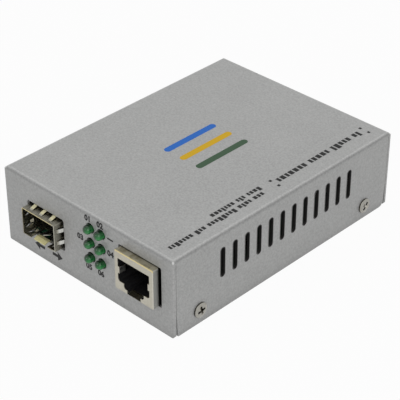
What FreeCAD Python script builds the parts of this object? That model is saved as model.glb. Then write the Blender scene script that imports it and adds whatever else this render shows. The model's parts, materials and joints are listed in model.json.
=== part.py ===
import FreeCAD, Part
import math
import os

# Fibre media converter: a folded steel case that holds one board with a pluggable-module cage,
# a shielded copper jack, six signal lamps and a power inlet.
#
# Frame: millimetres, +Z up. The ports look along -Y and +X is to the right when facing them.
# The origin is the middle of the base plate's underside, in the same plane as the cover's rim.

# ---------------------------------------------------------------- case
CASE_WIDTH = 70.0
CASE_DEPTH = 94.0
CASE_HEIGHT = 26.0
SHEET = 1.0                  # thickness of the cover's and the base's sheet
BEND_INNER = 0.2             # inside radius of every bend in the case
CORNER_EASE = 0.25           # powder-coated outer corner of the end flanges
END_FLANGE_CORNER = 0.8      # lower corners of the front and rear flanges
SIDE_FLANGE_FRONT_CORNER = 0.4
SIDE_FLANGE_REAR_CORNER = 1.8
SEAM_GAP = 0.12              # between a side flange and the end flange that covers its edge
SEAM_FOOT_GAP = 0.5          # the same gap at the rim, where the flange's edge is cut back
SEAM_TAPER_HEIGHT = 8.0
RELIEF_RADIUS = 0.15         # round relief where the bends meet
ROUND_SIDES = 16             # sides of each small round feature that repeats
HIDDEN_SIDES = 12            # the same for what the closed case hides

# ---------------------------------------------------------------- vents in both sides
VENT_COUNT = 12
VENT_PITCH = 5.0
VENT_WIDTH = 1.65
VENT_END_SIDES = 5           # sides of each slot's half-round end
VENT_BOTTOM = 11.3
VENT_TOP = 21.0

# ---------------------------------------------------------------- cover screws
SCREW_INSET = 10.8           # from each end of the case
SCREW_HEIGHT = 5.0
SCREW_RADIUS = 1.45
SCREW_LENGTH = 4.0
SCREW_HEAD_RADIUS = 2.55
SCREW_HEAD_HEIGHT = 1.25
SCREW_HEAD_RIM = 0.5         # straight height of the head below its crown
RECESS_WIDTH = 0.7
RECESS_SPAN = 2.7
RECESS_DEPTH = 0.8
SCREW_CLEARANCE = 0.25       # radial, in the cover's hole
THREAD_CLEARANCE = 0.05      # radial, in a tapped hole

# ---------------------------------------------------------------- base plate
BASE_END_CLEARANCE = 0.3
BASE_FLANGE_HEIGHT = 9.0
TAPPED_COLLAR_WALL = 0.7
TAPPED_COLLAR_DEPTH = 1.2
KEYHOLE_SPACING = 50.0
KEYHOLE_HEAD_RADIUS = 3.5
KEYHOLE_SLOT_RADIUS = 1.8
KEYHOLE_SLOT_LENGTH = 6.0

# ---------------------------------------------------------------- board and standoffs
STANDOFF_HEIGHT = 5.9
STANDOFF_ACROSS_FLATS = 5.0
STANDOFF_STUB_RADIUS = 2.1
STUB_CLEARANCE = 0.1
BOARD_THICKNESS = 1.6
BOARD_SIDE_CLEARANCE = 0.3   # to the ends of the base's tapped collars
BOARD_FRONT_SETBACK = 0.8
BOARD_REAR_SETBACK = 1.6
BOARD_CORNER = 1.0
BOARD_SCREW_LENGTH = 4.5
STANDOFF_SIDE_GAP = 0.6      # to the tips of the cover screws
REAR_SCREW_INSET = 6.0       # from the board's rear edge
FRONT_LEFT_SCREW_INSET = 7.0
FRONT_RIGHT_SCREW_INSET = 37.0
PIN_CLEARANCE = 0.12         # round each terminal that passes through the board

# ---------------------------------------------------------------- module cage
CAGE_CENTRE_FROM_LEFT = 17.65
CAGE_INNER_WIDTH = 13.6
CAGE_INNER_HEIGHT = 8.6
CAGE_SHEET = 0.25
CAGE_BEND = 0.4              # outside radius
CAGE_LENGTH = 48.8
CAGE_OUTSTAND = 3.0          # in front of the cover
CAGE_PANEL_GAP = 0.9         # round the cage, in the cover's opening
CAGE_PANEL_CORNER = 0.5
MOUTH_BAND = 1.0             # unbroken band in front of the sprung fingers
FINGER_WIDTH = 1.3
FINGER_PITCH = 4.1
FINGER_WINDOW_MARGIN = 0.25
FINGER_WINDOW_LENGTH = 3.8
FINGER_CREST_SETBACK = 0.3   # behind the cover's face, where a finger bears on the opening's edge
FINGER_CLEARANCE = 0.08
FINGER_TIP_LENGTH = 0.9
FINGER_TIP_DROP = 0.5
TOP_FINGERS = 3
SIDE_FINGERS = 2
FLOOR_FINGER_OFFSET = 5.3    # from the cage's middle to the finger on each side of the latch tab
TAB_WIDTH = 4.8
TAB_LENGTH = 6.0
TAB_LIP_LENGTH = 1.3
TAB_LIP_RISE = 0.45
TAB_NOTCH_WIDTH = 1.2
TAB_HOLE_BASE = 3.2
TAB_HOLE_DEPTH = 2.0
CAGE_VENT_RADIUS = 1.0
CAGE_VENT_SIDES = 8
CAGE_VENT_PITCH = 5.0
CAGE_VENT_COUNT = 6
CAGE_VENT_ROW_OFFSET = 3.4
CAGE_FIRST_VENT = 9.0        # from the mouth to the first vent
CAGE_LEG_COUNT = 5
CAGE_LEG_PITCH = 8.0
CAGE_FIRST_LEG = 10.0
CAGE_LEG_WIDTH = 0.9
LEG_OUTSTAND = 1.0           # every leg and terminal ends this far below the board

# ---------------------------------------------------------------- module connector
CONNECTOR_WIDTH = 12.0
CONNECTOR_HEIGHT = 5.4
CONNECTOR_LENGTH = 9.0
CONNECTOR_EDGE = 0.4
CONNECTOR_CLEARANCE = 0.3    # to the cage's floor
CONNECTOR_REAR_GAP = 1.2
SLOT_WIDTH = 9.6
SLOT_HEIGHT = 1.4
SLOT_DEPTH = 6.0
SLOT_SEAT = 2.4              # from the board to the slot's floor
CONTACT_COUNT = 10
CONTACT_PITCH = 0.8
CONTACT_WIDTH = 0.3
CONTACT_THICKNESS = 0.2
CONTACT_TAIL = 0.8

# ---------------------------------------------------------------- copper jack
JACK_CENTRE_FROM_RIGHT = 13.0
JACK_WIDTH = 15.2
JACK_HEIGHT = 13.1
JACK_LENGTH = 21.3
JACK_OUTSTAND = 2.5
JACK_SHEET = 0.25
JACK_BEND = 0.4              # outside radius
JACK_LIP_DEPTH = 2.5         # of the floor sheet behind the shield's face
JACK_SIDE_PANEL_GAP = 0.8
JACK_TOP_PANEL_GAP = 0.15
JACK_PANEL_CORNER = 0.3
PLUG_WIDTH = 12.4
PLUG_HEIGHT = 7.7
PLUG_TOP_MARGIN = 2.3        # from the jack's top to the plug opening
PLUG_CHAMFER = 0.6
LATCH_WIDTH = 7.9
LATCH_HEIGHT = 1.7
LATCH_SLOT_WIDTH = 5.3
PLUG_DEPTH = 13.5
HOUSING_CLEARANCE = 0.1      # between the housing and its shield
HOUSING_MOUTH_STEP = 0.15    # the housing's cavity is this much wider on each side than the opening
LEAF_WIDTH = 2.2
LEAF_DROP = 3.9              # from the plug opening's top to the leaf's centre
LEAF_REACH = 0.6
LEAF_LENGTH = 4.0
JACK_CONTACTS = 8
JACK_CONTACT_PITCH = 1.02
JACK_CONTACT_SIZE = 0.35
JACK_CONTACT_ROOF = 0.8      # height of the contacts' run above the plug opening
JACK_CONTACT_BEND = 1.6      # from the housing's mouth to the contacts' bend
JACK_CONTACT_REACH = 7.0     # length of the sprung run into the cavity
JACK_CONTACT_DROP = 3.2
JACK_TAIL_SETBACK = 1.6      # behind the cavity
JACK_TAIL_STAGGER = 2.5
PEG_RADIUS = 1.6
PEG_SPACING = 11.4
PEG_SETBACK = 12.0
PEG_CLEARANCE = 0.1
JACK_LEG_SETBACK = 9.0
JACK_LEG_WIDTH = 1.6

# ---------------------------------------------------------------- signal lamps
LAMP_COLUMNS = 2
LAMP_ROWS = 3
LAMP_COLUMN_PITCH = 4.45
LAMP_SIDE_GAP = 7.85         # from the last column's centre to the jack
LAMP_FIRST_HEIGHT = 2.9      # lowest row above the board
LAMP_TOP_DROP = 4.6          # highest row below the cover's top
LAMP_RADIUS = 1.45
LAMP_RIM_RADIUS = 1.75
LAMP_RIM_THICKNESS = 1.0
LAMP_LENGTH = 5.3
LAMP_TIP_ANGLE = math.radians(25)    # the dome's tip is flat inside this angle
LAMP_OUTSTAND = 2.4
LAMP_HOLE_CLEARANCE = 0.2
LAMP_HOLE_SIDES = 20
SPACER_WIDTH = 4.2
SPACER_DEPTH = 3.6
SPACER_CROWN = 2.3           # above the top row's centre
SPACER_EDGE = 0.6
LEAD_SIZE = 0.45
LEAD_PITCH = 2.54
LEAD_STEP = 1.3              # each higher row drops this much further back

# ---------------------------------------------------------------- power inlet
INLET_CENTRE_FROM_RIGHT = 17.0
INLET_WIDTH = 9.0
INLET_HEIGHT = 11.0
INLET_LENGTH = 14.2
INLET_FACE_DEPTH = 3.4
INLET_BODY_STEP = 1.0        # the body behind the face is this much lower and narrower
INLET_OUTSTAND = 0.6
INLET_PANEL_GAP = 0.4
INLET_AXIS_HEIGHT = 6.4
INLET_BORE_RADIUS = 3.2
INLET_BORE_DEPTH = 10.0
INLET_BORE_SIDES = 24
INLET_MOUTH_CHAMFER = 0.4
INLET_PIN_RADIUS = 1.0
INLET_PIN_SETBACK = 1.5
TERMINAL_WIDTH = 2.2
TERMINAL_THICKNESS = 0.4
INLET_LEAF_WIDTH = 2.2
INLET_LEAF_LIFT = 0.7        # how far the leaf stands into the bore
INLET_LEAF_REACH = 6.0

# ---------------------------------------------------------------- parts on the board
# Each size is the package's width, depth and height.
PART_GAP = 3.0               # free board between neighbours
TRANSFORMER_SIZE = (13.0, 10.0, 6.2)
CHIP_SIZE = (10.0, 10.0, 1.6)
MEMORY_SIZE = (3.9, 4.9, 1.5)
REGULATOR_SIZE = (6.1, 6.5, 2.3)
CRYSTAL_SIZE = (11.0, 4.6, 3.5)
INDUCTOR_SIZE = (7.3, 7.3, 4.2)
INDUCTOR_CORE_RADIUS = 2.6
INDUCTOR_CORE_DEPTH = 0.4
CAPACITOR_RADIUS = 3.15
CAPACITOR_HEIGHT = 7.7
CAPACITOR_BASE_HEIGHT = 0.9
PACKAGE_LEG_LENGTH = 1.0
PACKAGE_LEG_WIDTH = 0.4
PACKAGE_LEG_THICKNESS = 0.2
PACKAGE_EDGE = 0.2
CHIP_LEGS = 8
CHIP_LEG_PITCH = 1.0
MEMORY_LEGS = 4
REGULATOR_LEGS = 3
TRANSFORMER_LEGS = 6
COARSE_LEG_PITCH = 1.27

# ---------------------------------------------------------------- worked-out places
BEND_OUTER = BEND_INNER + SHEET
HALF_WIDTH = CASE_WIDTH / 2
HALF_DEPTH = CASE_DEPTH / 2
FRONT_INSIDE = SHEET - HALF_DEPTH
REAR_INSIDE = HALF_DEPTH - SHEET
BOARD_UNDERSIDE = SHEET + STANDOFF_HEIGHT
BOARD_TOP = BOARD_UNDERSIDE + BOARD_THICKNESS
BOARD_HALF_WIDTH = HALF_WIDTH - 2 * SHEET - TAPPED_COLLAR_DEPTH - BOARD_SIDE_CLEARANCE
STANDOFF_CORNER = STANDOFF_ACROSS_FLATS / math.sqrt(3)
BOARD_FRONT = FRONT_INSIDE + BOARD_FRONT_SETBACK
BOARD_REAR = REAR_INSIDE - BOARD_REAR_SETBACK
CAGE_X = CAGE_CENTRE_FROM_LEFT - HALF_WIDTH
CAGE_WIDTH = CAGE_INNER_WIDTH + 2 * CAGE_SHEET
CAGE_HEIGHT = CAGE_INNER_HEIGHT + 2 * CAGE_SHEET
CAGE_FRONT = -HALF_DEPTH - CAGE_OUTSTAND
CAGE_REAR = CAGE_FRONT + CAGE_LENGTH
CAGE_AXIS_Z = BOARD_TOP + CAGE_HEIGHT / 2
JACK_X = HALF_WIDTH - JACK_CENTRE_FROM_RIGHT
JACK_FRONT = -HALF_DEPTH - JACK_OUTSTAND
JACK_REAR = JACK_FRONT + JACK_LENGTH
JACK_TOP = BOARD_TOP + JACK_HEIGHT
LAMP_LAST_X = JACK_X - JACK_WIDTH / 2 - LAMP_SIDE_GAP
LAMP_LOW_Z = BOARD_TOP + LAMP_FIRST_HEIGHT
LAMP_HIGH_Z = CASE_HEIGHT - LAMP_TOP_DROP
LAMP_ROW_PITCH = (LAMP_HIGH_Z - LAMP_LOW_Z) / (LAMP_ROWS - 1)
LAMP_TIP = -HALF_DEPTH - LAMP_OUTSTAND
LAMP_BACK = LAMP_TIP + LAMP_LENGTH
SPACER_BACK = LAMP_BACK + SPACER_DEPTH
INLET_X = HALF_WIDTH - INLET_CENTRE_FROM_RIGHT
INLET_FACE = HALF_DEPTH + INLET_OUTSTAND
INLET_AXIS_Z = BOARD_TOP + INLET_AXIS_HEIGHT


# ---------------------------------------------------------------- small tools
def vec(x, y, z):
    return FreeCAD.Vector(x, y, z)


def block(x0, x1, y0, y1, z0, z1):
    """Box between two opposite corners."""
    return Part.makeBox(x1 - x0, y1 - y0, z1 - z0, vec(x0, y0, z0))


def centred_block(x, y, z0, size):
    """Box of a given size that stands at height z0, centred on x and y."""
    width, depth, height = size
    return Part.makeBox(width, depth, height, vec(x - width / 2, y - depth / 2, z0))


def rod(radius, start, direction, length):
    """Round bar from a start point."""
    return Part.makeCylinder(radius, length, start, direction)


def runs_along(edge, axis):
    """True for a straight edge parallel to the axis."""
    if edge.Degenerated or edge.Curve.TypeId != "Part::GeomLine":
        return False
    return abs(abs(edge.Curve.Direction.dot(axis)) - 1) < 1e-6


def round_edges(shape, radius, axis, keep=lambda point: True):
    """Fillet the straight edges along an axis whose middle point passes the test."""
    edges = []
    for edge in shape.Edges:
        if runs_along(edge, axis) and keep(edge.CenterOfMass):
            edges.append(edge)
    return shape.makeFillet(radius, edges)


def prism(points, direction):
    """Straight-sided outline pushed along a direction."""
    closed = points + [points[0]]
    return Part.Face(Part.makePolygon(closed)).extrude(direction)


def turned(profile, start, direction, sides=ROUND_SIDES):
    """Many-sided turned piece. The profile lists radius and distance along the axis, and its
    corners lie on the true circles."""
    turn = FreeCAD.Rotation(Z_AXIS, direction)
    rings = []
    for radius, along in profile:
        ring = []
        for step in range(sides):
            angle = 2 * math.pi * (step + 0.5) / sides
            point = vec(radius * math.cos(angle), radius * math.sin(angle), along)
            ring.append(start + turn.multVec(point))
        rings.append(ring)
    outlines = [rings[0], rings[-1]]
    for ring, after in zip(rings, rings[1:]):
        for step in range(sides):
            beside_it = (step + 1) % sides
            outlines.append([ring[step], ring[beside_it], after[beside_it], after[step]])
    faces = [Part.Face(Part.makePolygon(outline + [outline[0]])) for outline in outlines]
    solid = Part.makeSolid(Part.makeShell(faces))
    if solid.Volume < 0:
        solid.reverse()
    return solid.removeSplitter()


def sided_rod(radius, start, direction, length, sides=ROUND_SIDES):
    """Many-sided bar whose corners lie on the circle."""
    return turned([(radius, 0), (radius, length)], start, direction, sides)


def sided_hole(radius, start, direction, length, sides=ROUND_SIDES):
    """Many-sided cutter that clears a round bar of the given radius all round."""
    return sided_rod(radius / math.cos(math.pi / sides), start, direction, length, sides)


def ease_edges(shape, size, axis, keep=lambda point: True):
    """Chamfer the straight edges along an axis whose middle point passes the test."""
    edges = []
    for edge in shape.Edges:
        if runs_along(edge, axis) and keep(edge.CenterOfMass):
            edges.append(edge)
    return shape.makeChamfer(size, edges)


def bar_along_y(x, z, width, height, y0, y1):
    """Bar along Y, centred on x and z."""
    return block(x - width / 2, x + width / 2, y0, y1, z - height / 2, z + height / 2)


def round_bar(x, z, width, height, y0, y1, radius):
    """Bar along Y with round corners, centred on x and z."""
    return round_edges(bar_along_y(x, z, width, height, y0, y1), radius, Y_AXIS)


def fuse_all(shapes):
    """One solid from touching shapes."""
    whole = shapes[0]
    if len(shapes) > 1:
        whole = whole.multiFuse(shapes[1:])
    return whole.removeSplitter()


X_AXIS = vec(1, 0, 0)
Y_AXIS = vec(0, 1, 0)
Z_AXIS = vec(0, 0, 1)


# ---------------------------------------------------------------- shared places
def cover_screw_places():
    """Side (+1 right, -1 left) and Y of each cover screw."""
    reach = HALF_DEPTH - SCREW_INSET
    return [(side, y) for side in (-1, 1) for y in (-reach, reach)]


def board_screw_places():
    """X and Y of the board's four screws: the front two stand clear of the ports."""
    reach = HALF_WIDTH - SCREW_LENGTH - STANDOFF_SIDE_GAP - STANDOFF_CORNER
    rear = BOARD_REAR - REAR_SCREW_INSET
    return [
        (-reach, BOARD_FRONT + FRONT_LEFT_SCREW_INSET),
        (reach, BOARD_FRONT + FRONT_RIGHT_SCREW_INSET),
        (-reach, rear),
        (reach, rear),
    ]


def lamp_places():
    """Column X and row Z of each lamp, left to right and bottom to top."""
    places = []
    for column in range(LAMP_COLUMNS):
        x = LAMP_LAST_X - (LAMP_COLUMNS - 1 - column) * LAMP_COLUMN_PITCH
        for row in range(LAMP_ROWS):
            places.append((x, LAMP_LOW_Z + row * LAMP_ROW_PITCH, row))
    return places


def row_offsets(count, pitch):
    """Evenly spaced offsets about zero."""
    return [(index - (count - 1) / 2) * pitch for index in range(count)]


# ---------------------------------------------------------------- cover
def folded_shell():
    """Top and four walls of the cover before anything is cut out. The bends run through to the
    corners, where they meet in a mitre."""
    whole = block(-HALF_WIDTH, HALF_WIDTH, -HALF_DEPTH, HALF_DEPTH, 0, CASE_HEIGHT)
    outer = round_edges(whole, CORNER_EASE, Z_AXIS)
    for axis in (X_AXIS, Y_AXIS):
        outer = outer.common(round_edges(whole, BEND_OUTER, axis, lambda point: point.z > SHEET))
    cavity = block(
        SHEET - HALF_WIDTH, HALF_WIDTH - SHEET, FRONT_INSIDE, REAR_INSIDE, -SHEET, CASE_HEIGHT - SHEET
    )
    cavity = round_edges(cavity, BEND_INNER, X_AXIS, lambda point: point.z > 0)
    return outer.cut(cavity)


def to_corner(tool, side, end):
    """Carry a tool from the right rear corner to any of the four corners."""
    if end < 0:
        tool = tool.mirror(vec(0, 0, 0), Y_AXIS)
    if side < 0:
        tool = tool.mirror(vec(0, 0, 0), X_AXIS)
    return tool


def corner_seam(radius):
    """Cut between the right side flange and the rear flange that covers its edge. The side
    flange's lower corner is rounded, and its edge leans away from the seam below the taper."""
    wall = HALF_DEPTH - SHEET
    top = CASE_HEIGHT - BEND_OUTER - RELIEF_RADIUS
    x = HALF_WIDTH - SHEET
    foot = wall - SEAM_FOOT_GAP
    outline = [
        vec(x, wall, -SHEET),
        vec(x, foot, -SHEET),
        vec(x, foot, radius),
        vec(x, wall - SEAM_GAP, SEAM_TAPER_HEIGHT),
        vec(x, wall - SEAM_GAP, top),
        vec(x, wall, top),
    ]
    slit = prism(outline, vec(2 * SHEET, 0, 0))
    relief = sided_rod(RELIEF_RADIUS, vec(x, wall - RELIEF_RADIUS, top), X_AXIS, 2 * SHEET)
    square = block(x, x + 2 * SHEET, foot - radius, foot, -SHEET, radius)
    round_part = rod(radius, vec(x, foot - radius, radius), X_AXIS, 2 * SHEET)
    return fuse_all([slit, relief, square.cut(round_part)])


def end_flange_corner():
    """What rounds the rear flange's lower right corner."""
    radius = END_FLANGE_CORNER
    x = HALF_WIDTH - radius
    y = REAR_INSIDE - SHEET / 2
    square = block(x, HALF_WIDTH + SHEET, y, y + 2 * SHEET, -SHEET, radius)
    return square.cut(rod(radius, vec(x, y, radius), Y_AXIS, 2 * SHEET))


def vent_slot(y):
    """Slot with half-round ends through both side walls."""
    radius = VENT_WIDTH / 2
    outline = []
    for z, first in ((VENT_TOP - radius, 0), (VENT_BOTTOM + radius, math.pi)):
        for step in range(VENT_END_SIDES + 1):
            angle = first + math.pi * step / VENT_END_SIDES
            outline.append(vec(-CASE_WIDTH, y + radius * math.cos(angle), z + radius * math.sin(angle)))
    return prism(outline, vec(2 * CASE_WIDTH, 0, 0))


def port_openings():
    """What the front and rear flanges are punched with."""
    front = (-HALF_DEPTH - SHEET, FRONT_INSIDE + SHEET)
    rear = (REAR_INSIDE - SHEET, HALF_DEPTH + SHEET)
    cage_size = (CAGE_WIDTH + 2 * CAGE_PANEL_GAP, CAGE_HEIGHT + 2 * CAGE_PANEL_GAP)
    jack_size = (JACK_WIDTH + 2 * JACK_SIDE_PANEL_GAP, JACK_HEIGHT + 2 * JACK_TOP_PANEL_GAP)
    inlet_size = (INLET_WIDTH + 2 * INLET_PANEL_GAP, INLET_HEIGHT + 2 * INLET_PANEL_GAP)
    tools = [
        ease_edges(bar_along_y(CAGE_X, CAGE_AXIS_Z, *cage_size, *front), CAGE_PANEL_CORNER, Y_AXIS),
        ease_edges(
            bar_along_y(JACK_X, BOARD_TOP + JACK_HEIGHT / 2, *jack_size, *front),
            JACK_PANEL_CORNER, Y_AXIS
        ),
        ease_edges(
            bar_along_y(INLET_X, BOARD_TOP + INLET_HEIGHT / 2, *inlet_size, *rear),
            INLET_PANEL_GAP, Y_AXIS
        ),
    ]
    for x, z, _row in lamp_places():
        radius = LAMP_RADIUS + LAMP_HOLE_CLEARANCE
        tools.append(sided_hole(radius, vec(x, front[0], z), Y_AXIS, 3 * SHEET, LAMP_HOLE_SIDES))
    return tools


def cover():
    """The folded cover: the end flanges run the full width over the side flanges' edges."""
    shell = folded_shell()
    tools = []
    for side in (-1, 1):
        tools.append(to_corner(corner_seam(SIDE_FLANGE_FRONT_CORNER), side, -1))
        tools.append(to_corner(corner_seam(SIDE_FLANGE_REAR_CORNER), side, 1))
        tools += [to_corner(end_flange_corner(), side, end) for end in (-1, 1)]
    tools += [vent_slot(y) for y in row_offsets(VENT_COUNT, VENT_PITCH)]
    for side, y in cover_screw_places():
        start = vec(side * (HALF_WIDTH - 2 * SHEET), y, SCREW_HEIGHT)
        tools.append(sided_hole(SCREW_RADIUS + SCREW_CLEARANCE, start, X_AXIS * side, 3 * SHEET))
    tools += port_openings()
    return shell.cut(tools)


def cross_recess(centre, direction):
    """Two crossed slots that narrow towards the bottom, opening along the direction."""
    arms = []
    for turn in (0, 90):
        half = RECESS_SPAN / 2
        outline = [
            vec(-half, 0, 0),
            vec(half, 0, 0),
            vec(half / 2, 0, -RECESS_DEPTH),
            vec(-half / 2, 0, -RECESS_DEPTH),
        ]
        arm = prism(outline, vec(0, RECESS_WIDTH, 0))
        arm.translate(vec(0, -RECESS_WIDTH / 2, 0))
        arm.rotate(vec(0, 0, 0), Z_AXIS, turn)
        arms.append(arm)
    recess = arms[0].fuse(arms[1])
    recess.Placement = FreeCAD.Placement(centre, FreeCAD.Rotation(Z_AXIS, direction))
    return recess


def screw(seat, direction, length, sides):
    """Pan-head screw: seat is the point under the head, direction points out of the head."""
    crown = SCREW_HEAD_HEIGHT - SCREW_HEAD_RIM
    profile = [
        (SCREW_RADIUS, -length),
        (SCREW_RADIUS, 0),
        (SCREW_HEAD_RADIUS, 0),
        (SCREW_HEAD_RADIUS, SCREW_HEAD_RIM),
        (SCREW_HEAD_RADIUS - crown, SCREW_HEAD_HEIGHT),
    ]
    return turned(profile, seat, direction, sides)


def cover_screws():
    """Two screws through each side flange into the base plate."""
    screws = []
    for side, y in cover_screw_places():
        seat = vec(side * HALF_WIDTH, y, SCREW_HEIGHT)
        whole = screw(seat, X_AXIS * side, SCREW_LENGTH, ROUND_SIDES)
        top = seat + X_AXIS * side * SCREW_HEAD_HEIGHT
        screws.append(whole.cut(cross_recess(top, X_AXIS * side)))
    return Part.makeCompound(screws)


# ---------------------------------------------------------------- base plate and board
def keyhole(y):
    """Wall-hanging keyhole: a round entry with a narrower slot towards the rear."""
    head = rod(KEYHOLE_HEAD_RADIUS, vec(0, y, -SHEET), Z_AXIS, 3 * SHEET)
    slot = block(
        -KEYHOLE_SLOT_RADIUS, KEYHOLE_SLOT_RADIUS, y, y + KEYHOLE_SLOT_LENGTH, -SHEET, 2 * SHEET
    )
    end = sided_rod(KEYHOLE_SLOT_RADIUS, vec(0, y + KEYHOLE_SLOT_LENGTH, -SHEET), Z_AXIS, 3 * SHEET)
    return fuse_all([head, slot, end])


def tapped_collar(side, y):
    """Extruded collar on the inside of the base's flange, which gives the thread its length."""
    start = vec(side * (HALF_WIDTH - 1.5 * SHEET), y, SCREW_HEIGHT)
    radius = SCREW_RADIUS + THREAD_CLEARANCE + TAPPED_COLLAR_WALL
    return sided_rod(radius, start, X_AXIS * -side, SHEET / 2 + TAPPED_COLLAR_DEPTH, HIDDEN_SIDES)


def base_plate():
    """Tray with two upturned sides that stand against the cover's side flanges."""
    half = HALF_WIDTH - SHEET
    front = FRONT_INSIDE + BASE_END_CLEARANCE
    rear = REAR_INSIDE - BASE_END_CLEARANCE
    outer = block(-half, half, front, rear, 0, BASE_FLANGE_HEIGHT)
    outer = round_edges(outer, BEND_OUTER, Y_AXIS, lambda point: point.z < SHEET)
    inner = block(
        SHEET - half, half - SHEET, front - SHEET, rear + SHEET, SHEET, BASE_FLANGE_HEIGHT + SHEET
    )
    inner = round_edges(inner, BEND_INNER, Y_AXIS, lambda point: point.z < 2 * SHEET)
    tray = outer.cut(inner)
    tray = fuse_all([tray] + [tapped_collar(side, y) for side, y in cover_screw_places()])
    tools = [keyhole(y) for y in (-KEYHOLE_SPACING / 2, KEYHOLE_SPACING / 2)]
    for side, y in cover_screw_places():
        start = vec(side * HALF_WIDTH, y, SCREW_HEIGHT)
        depth = 3 * SHEET + TAPPED_COLLAR_DEPTH
        radius = SCREW_RADIUS + THREAD_CLEARANCE
        tools.append(sided_hole(radius, start, X_AXIS * -side, depth, HIDDEN_SIDES))
    for x, y in board_screw_places():
        hole = STANDOFF_STUB_RADIUS + STUB_CLEARANCE
        tools.append(sided_hole(hole, vec(x, y, -SHEET), Z_AXIS, 3 * SHEET))
    return tray.cut(tools)


def standoffs():
    """Hexagonal tapped standoffs, each clinched into the base by a round stub."""
    pillars = []
    for x, y in board_screw_places():
        outline = []
        for step in range(6):
            angle = math.radians(60 * step)
            along = vec(math.cos(angle), math.sin(angle), 0)
            outline.append(vec(x, y, SHEET) + along * STANDOFF_CORNER)
        pillar = prism(outline, vec(0, 0, STANDOFF_HEIGHT))
        stub = sided_rod(STANDOFF_STUB_RADIUS, vec(x, y, STUB_CLEARANCE), Z_AXIS, SHEET)
        pillar = fuse_all([pillar, stub])
        depth = BOARD_SCREW_LENGTH
        start = vec(x, y, BOARD_UNDERSIDE - depth)
        radius = SCREW_RADIUS + THREAD_CLEARANCE
        hole = sided_hole(radius, start, Z_AXIS, depth + SHEET, HIDDEN_SIDES)
        pillars.append(pillar.cut(hole))
    return Part.makeCompound(pillars)


def board_screws():
    """Screws that hold the board down on the standoffs."""
    screws = []
    for x, y in board_screw_places():
        screws.append(screw(vec(x, y, BOARD_TOP), Z_AXIS, BOARD_SCREW_LENGTH, HIDDEN_SIDES))
    return Part.makeCompound(screws)


# ---------------------------------------------------------------- strips and terminals
def ribbon(path, thickness, width):
    """Folded strip: the path is one face's edge, the thickness lies to its left, seen against
    the width vector, and the width vector pushes the section out."""
    across = FreeCAD.Vector(width)
    across.normalize()
    normals = []
    for start, end in zip(path, path[1:]):
        along = end - start
        along.normalize()
        normals.append(across.cross(along))
    shifted = []
    for index, point in enumerate(path):
        before = normals[max(index - 1, 0)]
        after = normals[min(index, len(normals) - 1)]
        mitre = (before + after) * (1 / (1 + before.dot(after)))
        shifted.append(point + mitre * thickness)
    return prism(path + shifted[::-1], width)


def leg(x, y, size_x, size_y, top):
    """Flat terminal from the given height down through the board."""
    bottom = BOARD_UNDERSIDE - LEG_OUTSTAND
    return centred_block(x, y, bottom, (size_x, size_y, top - bottom))


def leg_hole(x, y, size_x, size_y):
    """The board's hole for one terminal."""
    size = (size_x + 2 * PIN_CLEARANCE, size_y + 2 * PIN_CLEARANCE, 3 * BOARD_THICKNESS)
    return centred_block(x, y, BOARD_UNDERSIDE - BOARD_THICKNESS, size)


# ---------------------------------------------------------------- module cage
def cage_leg_places():
    """Middle of each leg under the cage's two side walls."""
    reach = (CAGE_WIDTH - CAGE_SHEET) / 2
    places = []
    for index in range(CAGE_LEG_COUNT):
        y = CAGE_FRONT + CAGE_FIRST_LEG + index * CAGE_LEG_PITCH
        places += [(CAGE_X - reach, y), (CAGE_X + reach, y)]
    return places


def finger_places():
    """Turn about the cage's axis, outward distance of the wall and offset along it."""
    half_height = CAGE_HEIGHT / 2
    half_width = CAGE_WIDTH / 2
    places = [(0, half_height, offset) for offset in row_offsets(TOP_FINGERS, FINGER_PITCH)]
    for turn in (90, 270):
        places += [(turn, half_width, offset) for offset in row_offsets(SIDE_FINGERS, FINGER_PITCH)]
    places += [(180, half_height, offset) for offset in (-FLOOR_FINGER_OFFSET, FLOOR_FINGER_OFFSET)]
    return places


def on_cage_wall(shape, turn):
    """Carry a shape from the cage's own axis, where +Z is outward, to one of its walls."""
    placed = shape.copy()
    placed.rotate(vec(0, 0, 0), Y_AXIS, turn)
    placed.translate(vec(CAGE_X, 0, CAGE_AXIS_Z))
    return placed


def finger(outward, offset):
    """Sprung ground finger: leaves the mouth band, bears on the cover's opening, dips behind it."""
    root = CAGE_FRONT + MOUTH_BAND
    crest = -HALF_DEPTH + FINGER_CREST_SETBACK
    rise = CAGE_PANEL_GAP - FINGER_CLEARANCE
    path = [
        (root, outward),
        (crest, outward + rise),
        (crest + FINGER_TIP_LENGTH, outward + rise - FINGER_TIP_DROP),
    ]
    left = offset - FINGER_WIDTH / 2
    points = [vec(left, y, z) for y, z in path]
    lower = [vec(left, y, z - CAGE_SHEET) for y, z in path]
    return prism(points + lower[::-1], vec(FINGER_WIDTH, 0, 0))


def finger_window(outward, offset):
    """The hole that a finger is lanced from."""
    half = FINGER_WIDTH / 2 + FINGER_WINDOW_MARGIN
    front = CAGE_FRONT + MOUTH_BAND
    rear = front + FINGER_WINDOW_LENGTH
    return block(offset - half, offset + half, front, rear, outward - 2 * CAGE_SHEET, outward + CAGE_SHEET)


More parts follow.
